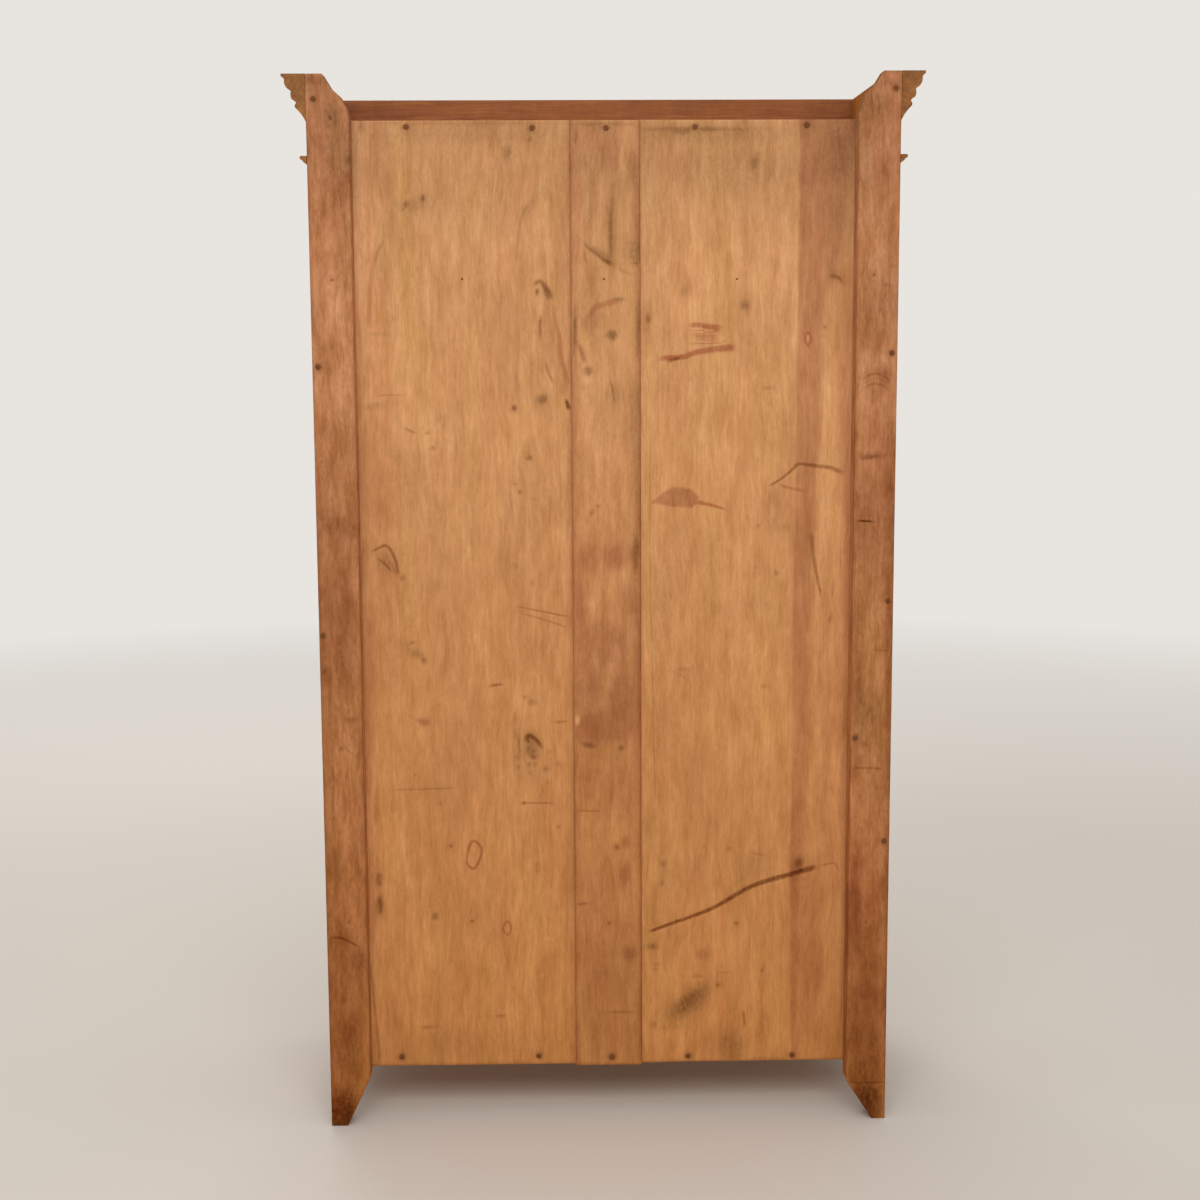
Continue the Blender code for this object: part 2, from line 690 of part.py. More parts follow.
def shelf_and_hooks():
    """The hat shelf on its cleats, and the rail with its coat hooks on the back boards."""
    half = INNER_HALF - SHELF_END_GAP
    rear = BACK_FRONT - SEAT_GAP
    front = rear - SHELF_DEPTH
    shelf_low = SHELF_TOP - SHELF_THICKNESS
    place("hat_shelf", box((-half, front, shelf_low), (half, rear, SHELF_TOP)), PINE_INSIDE)
    for side in (-1, 1):
        outer = INNER_HALF - SEAT_GAP
        high_z = shelf_low - SEAT_GAP
        low = (outer - CLEAT_THICKNESS, front + CLEAT_END_SETBACK, high_z - CLEAT_HEIGHT)
        high = (outer, rear - HOOK_RAIL_THICKNESS - SEAT_GAP, high_z)
        place(side_name("shelf_cleat", side), box(*mirrored(side, low, high)), PINE_INSIDE)
    half = INNER_HALF - HOOK_RAIL_END_GAP
    face = rear - HOOK_RAIL_THICKNESS
    rail_low = HOOK_RAIL_TOP - HOOK_RAIL_HEIGHT
    place("hook_rail", box((-half, face, rail_low), (half, rear, HOOK_RAIL_TOP)), PINE_INSIDE)
    hook_mesh = coat_hook_mesh()
    hook_mesh.materials.clear()
    hook_mesh.materials.append(CAST_IRON)
    for index in range(HOOK_COUNT):
        hook = bpy.data.objects.new(f"coat_hook_{index + 1}", hook_mesh)
        x = (index - (HOOK_COUNT - 1) / 2) * HOOK_SPACING
        hook.location = (x, face - SEAT_GAP - HOOK_PLATE_THICKNESS, HOOK_RAIL_CENTRE)
        PARTS.objects.link(hook)


def joint_axis(name, location, parent=None):
    """An empty that stands on a joint's axis and carries what moves there."""
    empty = bpy.data.objects.new(name, None)
    empty.location = location
    PARTS.objects.link(empty)
    if parent:
        empty.parent = parent
        empty.location = Vector(location) - world_place(parent)
    return empty


def door(axis):
    """Two stiles, three rails and two fielded panels, held together by grooves and tongues."""
    inner = DOOR_HALF - DOOR_STILE_WIDTH
    stiles = {}
    for side, name in ((-1, "door_stile_hinge"), (1, "door_stile_lock")):
        low = (inner, FRONT_FACE, DOOR_LOW)
        high = (DOOR_HALF, FRAME_BACK, DOOR_HIGH)
        stile = place(name, box(*mirrored(side, low, high)), PINE_FRONT, axis)
        span = sorted((side * (inner - PAST), side * (inner + GROOVE_DEPTH)))
        cut(stile, groove(*span, DOOR_LOW - PAST, DOOR_HIGH + PAST))
        stiles[side] = stile
    middle_low = DOOR_MIDDLE_RAIL_CENTRE - DOOR_MIDDLE_RAIL_WIDTH / 2
    middle_high = DOOR_MIDDLE_RAIL_CENTRE + DOOR_MIDDLE_RAIL_WIDTH / 2
    bottom_high = DOOR_LOW + DOOR_BOTTOM_RAIL_WIDTH
    top_low = DOOR_HIGH - DOOR_TOP_RAIL_WIDTH
    reach = inner + GROOVE_DEPTH
    rails = (
        ("door_bottom_rail", DOOR_LOW, bottom_high, (bottom_high,), ()),
        ("door_middle_rail", middle_low, middle_high, (middle_high,), (middle_low,)),
        ("door_top_rail", top_low, DOOR_HIGH, (), (top_low,)),
    )
    for name, low, high, upper_edges, lower_edges in rails:
        piece = rail(name, -inner, inner, low, high, axis)
        for edge in upper_edges:
            cut(piece, groove(-reach, reach, edge - GROOVE_DEPTH, edge + PAST))
        for edge in lower_edges:
            cut(piece, groove(-reach, reach, edge - PAST, edge + GROOVE_DEPTH))
    fielded_panel("door_panel_lower", -inner, inner, bottom_high, middle_low, DOOR_PANEL_SLOPE, axis)
    fielded_panel("door_panel_upper", -inner, inner, middle_high, top_low, DOOR_PANEL_SLOPE, axis)
    return stiles


def hinge(name, centre, axis, frame_post, stile):
    """A knuckle hinge: the lower knuckle on the door post, the upper on the door, and the pin."""
    half_gap = SEAT_GAP / 2
    bore = HINGE_PIN_RADIUS + HINGE_PIN_CLEARANCE
    spans = {
        "frame": (centre - HINGE_KNUCKLE_LENGTH, centre - half_gap),
        "door": (centre + half_gap, centre + HINGE_KNUCKLE_LENGTH),
    }
    floor = spans["frame"][0] + HINGE_PIN_FLOOR
    leaf_back = FRONT_FACE + HINGE_LEAF_DEPTH
    wall_middle = HINGE_Y + (bore + HINGE_RADIUS) / 2
    for part, (low, high) in spans.items():
        barrel = rod(HINGE_RADIUS, (HINGE_X, HINGE_Y, low), (HINGE_X, HINGE_Y, high))
        leaf = place(f"hinge_{part}_leaf_{name}", barrel, HINGE_IRON, axis if part == "door" else None)
        side = 1 if part == "door" else -1
        edge = HINGE_X + side * DOOR_GAP / 2
        plate = sorted((edge, edge + side * HINGE_LEAF_THICKNESS))
        join(leaf, box((plate[0], wall_middle, low), (plate[1], leaf_back, high)))
        if part == "frame":
            join(leaf, ball(HINGE_FINIAL_RADIUS, (HINGE_X, HINGE_Y, low)))
        start = floor if part == "frame" else low - PAST
        cut(leaf, rod(bore, (HINGE_X, HINGE_Y, start), (HINGE_X, HINGE_Y, high + PAST)))
        seat = sorted((edge - side * PAST, edge + side * (HINGE_LEAF_THICKNESS + SEAT_GAP)))
        mortise = box(
            (seat[0], FRONT_FACE - PAST, low - SEAT_GAP),
            (seat[1], leaf_back + SEAT_GAP, high + SEAT_GAP),
        )
        cut(stile if part == "door" else frame_post, mortise)
    top = spans["door"][1] + SEAT_GAP
    profile = [(0.0, top + 2 * HINGE_FINIAL_RADIUS)]
    steps = 5
    for step in range(1, steps):
        angle = math.pi * step / steps
        profile.append(
            (HINGE_FINIAL_RADIUS * math.sin(angle), top + HINGE_FINIAL_RADIUS * (1 + math.cos(angle)))
        )
    profile += [
        (HINGE_PIN_RADIUS, top),
        (HINGE_PIN_RADIUS, floor + SEAT_GAP),
        (0.0, floor + SEAT_GAP),
    ]
    smooth(place(f"hinge_pin_{name}", turned(profile, (HINGE_X, HINGE_Y, 0.0)), HINGE_IRON))


def keyhole_points(round_radius, slot_half, slot_low):
    """A keyhole's outline on X and Z: a round hole with a slot below it."""
    drop = math.sqrt(round_radius**2 - slot_half**2)
    start = math.atan2(-drop, slot_half)
    sweep = 2 * math.pi - 2 * math.atan2(slot_half, drop)
    points = [(KEY_X - slot_half, slot_low), (KEY_X + slot_half, slot_low)]
    for step in range(ROUND_SIDES + 1):
        angle = start + sweep * step / ROUND_SIDES
        points.append(
            (KEY_X + round_radius * math.cos(angle), LOCK_HEIGHT + round_radius * math.sin(angle))
        )
    return points


def lock(axis, bolt_axis, key_axis, stile):
    """Rim lock on the inside of the door: case, bolt, key, escutcheon, and the keep on its post."""
    slot_half = KEY_BIT_THICKNESS / 2 + KEYHOLE_CLEARANCE
    slot_low = LOCK_HEIGHT - KEY_BIT_REACH - KEYHOLE_CLEARANCE
    hole = keyhole_points(KEYHOLE_RADIUS, slot_half, slot_low)
    cut(stile, outline([hole], -FRAME_BACK - PAST, -FRONT_FACE + PAST, FACING_FRONT))

    case_left = CASE_RIGHT - LOCK_CASE_WIDTH
    case_low = LOCK_HEIGHT - LOCK_CASE_BELOW_KEY
    case_high = case_low + LOCK_CASE_HEIGHT
    case_front = FRAME_BACK + SEAT_GAP
    case_box = box((case_left, case_front, case_low), (CASE_RIGHT, CASE_BACK, case_high))
    case = place("lock_case", case_box, LOCK_STEEL, axis)
    wall = LOCK_CASE_WALL
    hollow_low = (case_left + wall, case_front - PAST, case_low + wall)
    cut(case, box(hollow_low, (CASE_RIGHT - wall, CASE_BACK - wall, case_high - wall)))
    mouth_low = (CASE_RIGHT - wall - PAST, BOLT_FRONT - BOLT_CLEARANCE, BOLT_LOW - BOLT_CLEARANCE)
    mouth_high = (CASE_RIGHT + PAST, BOLT_BACK + BOLT_CLEARANCE, BOLT_HIGH + BOLT_CLEARANCE)
    cut(case, box(mouth_low, mouth_high))
    seat = KEY_SHANK_RADIUS + SEAT_GAP
    cut(case, rod(seat, (KEY_X, CASE_BACK - wall - PAST, LOCK_HEIGHT), (KEY_X, CASE_BACK + PAST, LOCK_HEIGHT)))

    bolt_low = (CASE_RIGHT - BOLT_LENGTH, BOLT_FRONT, BOLT_LOW)
    bolt = place("lock_bolt", box(bolt_low, (CASE_RIGHT, BOLT_BACK, BOLT_HIGH)), LOCK_STEEL, bolt_axis)
    entry = math.acos(-BOLT_ABOVE_KEY / KEY_BIT_REACH)
    talon_left = -KEY_BIT_REACH * math.sin(entry) - BOLT_THROW * entry / math.pi - KEY_BIT_THICKNESS
    talon_right = -BOLT_THROW + KEY_BIT_THICKNESS / 2 + KEY_BIT_CLEARANCE
    talon_high = LOCK_HEIGHT + KEY_BIT_REACH + KEY_BIT_CLEARANCE
    talon_low = (KEY_X + talon_left, BOLT_FRONT - PAST, BOLT_LOW - PAST)
    cut(bolt, box(talon_low, (KEY_X + talon_right, BOLT_BACK + PAST, talon_high)))

    key(key_axis)

    around = 24
    rim = [
        (
            KEY_X + ESCUTCHEON_WIDTH / 2 * math.cos(2 * math.pi * step / around),
            LOCK_HEIGHT + ESCUTCHEON_HEIGHT / 2 * math.sin(2 * math.pi * step / around),
        )
        for step in range(around)
    ]
    plate_back = -FRONT_FACE + SEAT_GAP
    mesh = outline([rim, hole], plate_back, plate_back + ESCUTCHEON_THICKNESS, FACING_FRONT)
    place("escutcheon", mesh, BRASS, axis)

    seat = FRAME_BACK + SEAT_GAP
    inside_back = BOLT_BACK + KEEP_CLEARANCE
    inside_low = BOLT_LOW - KEEP_CLEARANCE
    inside_high = BOLT_HIGH + KEEP_CLEARANCE
    flange = seat + KEEP_WALL
    section = [
        (seat, inside_low),
        (seat, inside_low - KEEP_FLANGE),
        (flange, inside_low - KEEP_FLANGE),
        (flange, inside_low - KEEP_WALL),
        (inside_back + KEEP_WALL, inside_low - KEEP_WALL),
        (inside_back + KEEP_WALL, inside_high + KEEP_WALL),
        (flange, inside_high + KEEP_WALL),
        (flange, inside_high + KEEP_FLANGE),
        (seat, inside_high + KEEP_FLANGE),
        (seat, inside_high),
        (inside_back, inside_high),
        (inside_back, inside_low),
    ]
    left = OPENING_HALF + KEEP_SETBACK
    place("lock_keep", outline([section], left, left + KEEP_WIDTH, ALONG_WIDTH), LOCK_STEEL)


def key(axis):
    """The key: an oval bow, a collar, a shank to the lock's rear plate, and a bit that hangs down."""
    bow_y = FRONT_FACE - KEY_PROJECTION + KEY_BOW_WIRE + KEY_BOW_DEPTH
    around = 20
    ring = [
        (
            KEY_X,
            bow_y + KEY_BOW_DEPTH * math.cos(2 * math.pi * step / around),
            LOCK_HEIGHT + KEY_BOW_HEIGHT * math.sin(2 * math.pi * step / around),
        )
        for step in range(around)
    ]
    neck = bow_y + KEY_BOW_DEPTH
    shank = rod(KEY_SHANK_RADIUS, (KEY_X, neck, LOCK_HEIGHT), (KEY_X, CASE_BACK, LOCK_HEIGHT))
    body = place("key", shank, BRASS, axis)
    join(body, wire(ring, KEY_BOW_WIRE, closed=True))
    collar = neck + KEY_BOW_WIRE
    collar_end = (KEY_X, collar + KEY_COLLAR_LENGTH, LOCK_HEIGHT)
    join(body, rod(KEY_COLLAR_RADIUS, (KEY_X, collar, LOCK_HEIGHT), collar_end))
    half = KEY_BIT_THICKNESS / 2
    bit_low = (KEY_X - half, BOLT_FRONT + KEY_BIT_CLEARANCE, LOCK_HEIGHT - KEY_BIT_REACH)
    bit_high = (KEY_X + half, BOLT_BACK - KEY_BIT_CLEARANCE, LOCK_HEIGHT)
    join(body, box(bit_low, bit_high))


def door_stops():
    """Strips behind the frieze and the bottom rail, which the closed door lies against."""
    half = OPENING_HALF - DOOR_STOP_END_SETBACK
    front = FRAME_BACK + SEAT_GAP
    spans = {
        "door_stop_top": (FRIEZE_LOW - DOOR_STOP_OVERLAP, FRIEZE_LOW + DOOR_STOP_SEAT),
        "door_stop_bottom": (BOTTOM_RAIL_TOP - DOOR_STOP_SEAT, BOTTOM_RAIL_TOP + DOOR_STOP_OVERLAP),
    }
    for name, (low, high) in spans.items():
        corners = (-half, front, low), (half, front + DOOR_STOP_THICKNESS, high)
        place(name, box(*corners), PINE_INSIDE)


clear_scene()
PARTS = new_collection("hall_wardrobe")
CUTTERS = new_collection("hall_wardrobe_cutters")

PINE_BACK = new_material("bare_pine_back", (0.50, 0.26, 0.11), 0.75)
PINE_POST = new_material("bare_pine_post", (0.36, 0.16, 0.07), 0.72)
PINE_FRONT = new_material("waxed_pine_front", (0.42, 0.18, 0.06), 0.45)
PINE_INSIDE = new_material("bare_pine_inside", (0.52, 0.30, 0.14), 0.75)
CAST_IRON = new_material("black_cast_iron", (0.03, 0.03, 0.03), 0.55, 0.8)
HINGE_IRON = new_material("old_hinge_iron", (0.09, 0.07, 0.06), 0.5, 0.9)
LOCK_STEEL = new_material("old_lock_steel", (0.14, 0.12, 0.10), 0.45, 0.9)
BRASS = new_material("aged_brass", (0.50, 0.34, 0.12), 0.35, 1.0)

side_boards()
level_board("top_board", TOP_BOARD_TOP, TOP_BOARD_THICKNESS)
level_board("bottom_board", BOTTOM_BOARD_TOP, BOTTOM_BOARD_THICKNESS)
rear_posts()
back_boards()
front_frame()
moulding("cornice", cornice_profile())
moulding("astragal", astragal_profile())
shelf_and_hooks()
door_stops()

DOOR_AXIS = joint_axis("door_axis", (HINGE_X, HINGE_Y, 0.0))
BOLT_AXIS = joint_axis("bolt_axis", (CASE_RIGHT, BOLT_FRONT, BOLT_LOW), DOOR_AXIS)
KEY_AXIS = joint_axis("key_axis", (KEY_X, FRONT_FACE, LOCK_HEIGHT), DOOR_AXIS)
STILES = door(DOOR_AXIS)
POST = bpy.data.objects["door_post_left"]
hinge("lower", DOOR_LOW + HINGE_FROM_DOOR_END, DOOR_AXIS, POST, STILES[-1])
hinge("upper", DOOR_HIGH - HINGE_FROM_DOOR_END, DOOR_AXIS, POST, STILES[-1])
lock(DOOR_AXIS, BOLT_AXIS, KEY_AXIS, STILES[1])
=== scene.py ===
"""Looks of the hall wardrobe: old pine with its marks and nails, and the ironwork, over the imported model.

Metres, +Z up, front at -Y and back at +Y. Left and right are as seen from the front, so left is -X,
which a view of the back shows on its right. Marks of the wood are given where the picture of the
back shows them, in its pixels, and are worked out on each board as fields that the finishes read.
"""
import json
import math

import bpy
import numpy as np
from mathutils import Matrix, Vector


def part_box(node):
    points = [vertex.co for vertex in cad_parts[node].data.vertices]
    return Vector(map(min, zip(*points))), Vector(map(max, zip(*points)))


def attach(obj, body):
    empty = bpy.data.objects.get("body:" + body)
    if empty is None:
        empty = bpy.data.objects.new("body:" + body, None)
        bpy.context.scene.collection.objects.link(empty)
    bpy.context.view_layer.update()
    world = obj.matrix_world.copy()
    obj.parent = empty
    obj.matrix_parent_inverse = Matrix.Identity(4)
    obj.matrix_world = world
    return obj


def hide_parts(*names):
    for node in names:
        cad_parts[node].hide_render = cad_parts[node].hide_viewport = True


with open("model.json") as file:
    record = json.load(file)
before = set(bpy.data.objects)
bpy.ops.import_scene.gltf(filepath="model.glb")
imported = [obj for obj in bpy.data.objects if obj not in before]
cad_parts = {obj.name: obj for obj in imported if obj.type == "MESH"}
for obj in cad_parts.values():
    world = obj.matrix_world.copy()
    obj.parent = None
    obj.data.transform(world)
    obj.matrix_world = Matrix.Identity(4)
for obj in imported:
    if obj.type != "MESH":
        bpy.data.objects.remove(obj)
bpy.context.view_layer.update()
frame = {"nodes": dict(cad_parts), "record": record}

BODY_OF = {node: body for body, nodes in frame["record"]["behaviour"]["bodies"].items() for node in nodes}
X, Y, Z = range(3)

# Camera: where the picture was taken from, its turn, and its focal length in pixels
PICTURE_SIZE = 1200
FOCAL_PIXELS = 1955.0
CAMERA_PLACE = (0.0887, 3.7152, 1.4861)
CAMERA_YAW = math.radians(1.270)
CAMERA_PITCH = math.radians(8.311)
CAMERA_ROLL = math.radians(-0.286)
SENSOR_WIDTH = 36.0
PIXEL_AT_BACK = 0.0018

# Wood surfaces: grid steps, eased edges and relief
BACK_STEP = 0.0030
CENTRE_STEP = 0.0017
POST_STEP = 0.0026
PLAIN_STEP = 0.012
SLAB_STEP = 1.0
EASED_EDGE = 0.0016
SEAM_EDGE = 0.0003
WORN_EDGE = 0.0024
SEAT_GAP = 0.0003
SEAM_CLOSING = 0.00048
BOARD_CUP_REACH = 0.120
NAIL_DENT = 0.0007
CRACK_DEPTH = 0.0009

# Heights where the feet begin to taper, on plain posts and on the spliced one
FOOT_TAPER, SPLICED_FOOT_TAPER = 0.092, 0.076
# Rear posts: side, width of the foot, wear of the top, and the cut at the top as (width, drop),
# in millimetres
RIGHT_TOP_CUT = ((29.0, 0.0), (43.7, 25.0), (59.3, 39.4), (70.4, 60.5), (73.5, 78.0))
LEFT_TOP_CUT = ((31.0, 0.0), (42.0, 18.0), (64.0, 40.0), (68.5, 54.0), (73.5, 74.0))
REAR_POSTS = {
    "rear_post_right": (1, 30.0, 3.0, RIGHT_TOP_CUT),
    "rear_post_left": (-1, 24.5, 0.0, LEFT_TOP_CUT),
    "rear_foot_tip_left": (-1, 24.5, 0.0, LEFT_TOP_CUT),
}
# Front posts: width of the foot, grime on it and its reach, and rubbed edges
FRONT_FOOT = 0.030
FRONT_FOOT_GRIME, FRONT_FOOT_GRIME_REACH = 0.5, 0.05
FRONT_POST_RUB = 0.30

# Panels
PANEL_FLAT = 0.004
PANEL_STEP = 0.0016
PANEL_RISE = 0.006
DOOR_PANEL_SLOPE = 0.040
FRONT_PANEL_SLOPE = 0.024
PANEL_GRIME, PANEL_GRIME_REACH = 0.50, 0.005
PANEL_RUB, PANEL_RUB_REACH = 0.25, 0.003

# Mouldings: end of each stretch as (projection, drop) in millimetres, and how far it bulges
CORNICE_STRETCHES = (
    (41.0, 0.0, 0.0),
    (41.0, 4.6, 0.0),
    (35.4, 10.6, -0.10),
    (29.8, 26.4, 0.13),
    (24.2, 30.2, 0.0),
    (23.0, 44.4, 0.10),
    (15.6, 50.8, -0.08),
    (15.0, 61.6, 0.28),
    (9.6, 67.6, 0.0),
    (0.3, 82.8, -0.03),
)
ASTRAGAL_STRETCHES = (
    (10.2, 0.0, 0.0),
    (11.0, 5.8, 0.30),
    (6.4, 10.2, -0.12),
    (0.3, 14.8, 0.0),
)
ASTRAGAL_DROP = 0.141
# Length and height over which the right cornice has settled with its post
SETTLED_LENGTH, SETTLED_HEIGHT = 0.10, 0.09


def srgb(red, green, blue):
    """A colour as a screen shows it, from 0 to 255, made linear for the shaders."""
    share = np.array((red, green, blue)) / 255.0
    linear = np.where(share <= 0.04045, share / 12.92, ((share + 0.055) / 1.055) ** 2.4)
    return (*linear.tolist(), 1.0)


def camera_axes():
    """The camera's right, up and forward: a yaw, a pitch down, then a roll about the line of sight."""
    forward = np.array((
        -math.sin(CAMERA_YAW) * math.cos(CAMERA_PITCH),
        -math.cos(CAMERA_YAW) * math.cos(CAMERA_PITCH),
        -math.sin(CAMERA_PITCH),
    ))
    right = np.array((-math.cos(CAMERA_YAW), math.sin(CAMERA_YAW), 0.0))
    up = np.cross(right, forward)
    turn, lift = math.cos(CAMERA_ROLL), math.sin(CAMERA_ROLL)
    return turn * right + lift * up, turn * up - lift * right, forward


def in_picture(points):
    """Where points show in the picture: offsets along right and up over depth, times the focal length."""
    right, up, forward = camera_axes()
    away = points - np.array(CAMERA_PLACE)
    scale = FOCAL_PIXELS / (away @ forward)
    middle = PICTURE_SIZE / 2
    return np.stack((middle + scale * (away @ right), middle - scale * (away @ up)), 1)


def seen_at(spots, depth):
    """Where the lines of sight through picture points meet the upright plane y = depth."""
    right, up, forward = camera_axes()
    spots = (np.array(spots, float) - PICTURE_SIZE / 2) / FOCAL_PIXELS
    rays = forward + spots[:, :1] * right - spots[:, 1:] * up
    reach = (depth - CAMERA_PLACE[Y]) / rays[:, Y]
    return np.array(CAMERA_PLACE) + reach[:, None] * rays


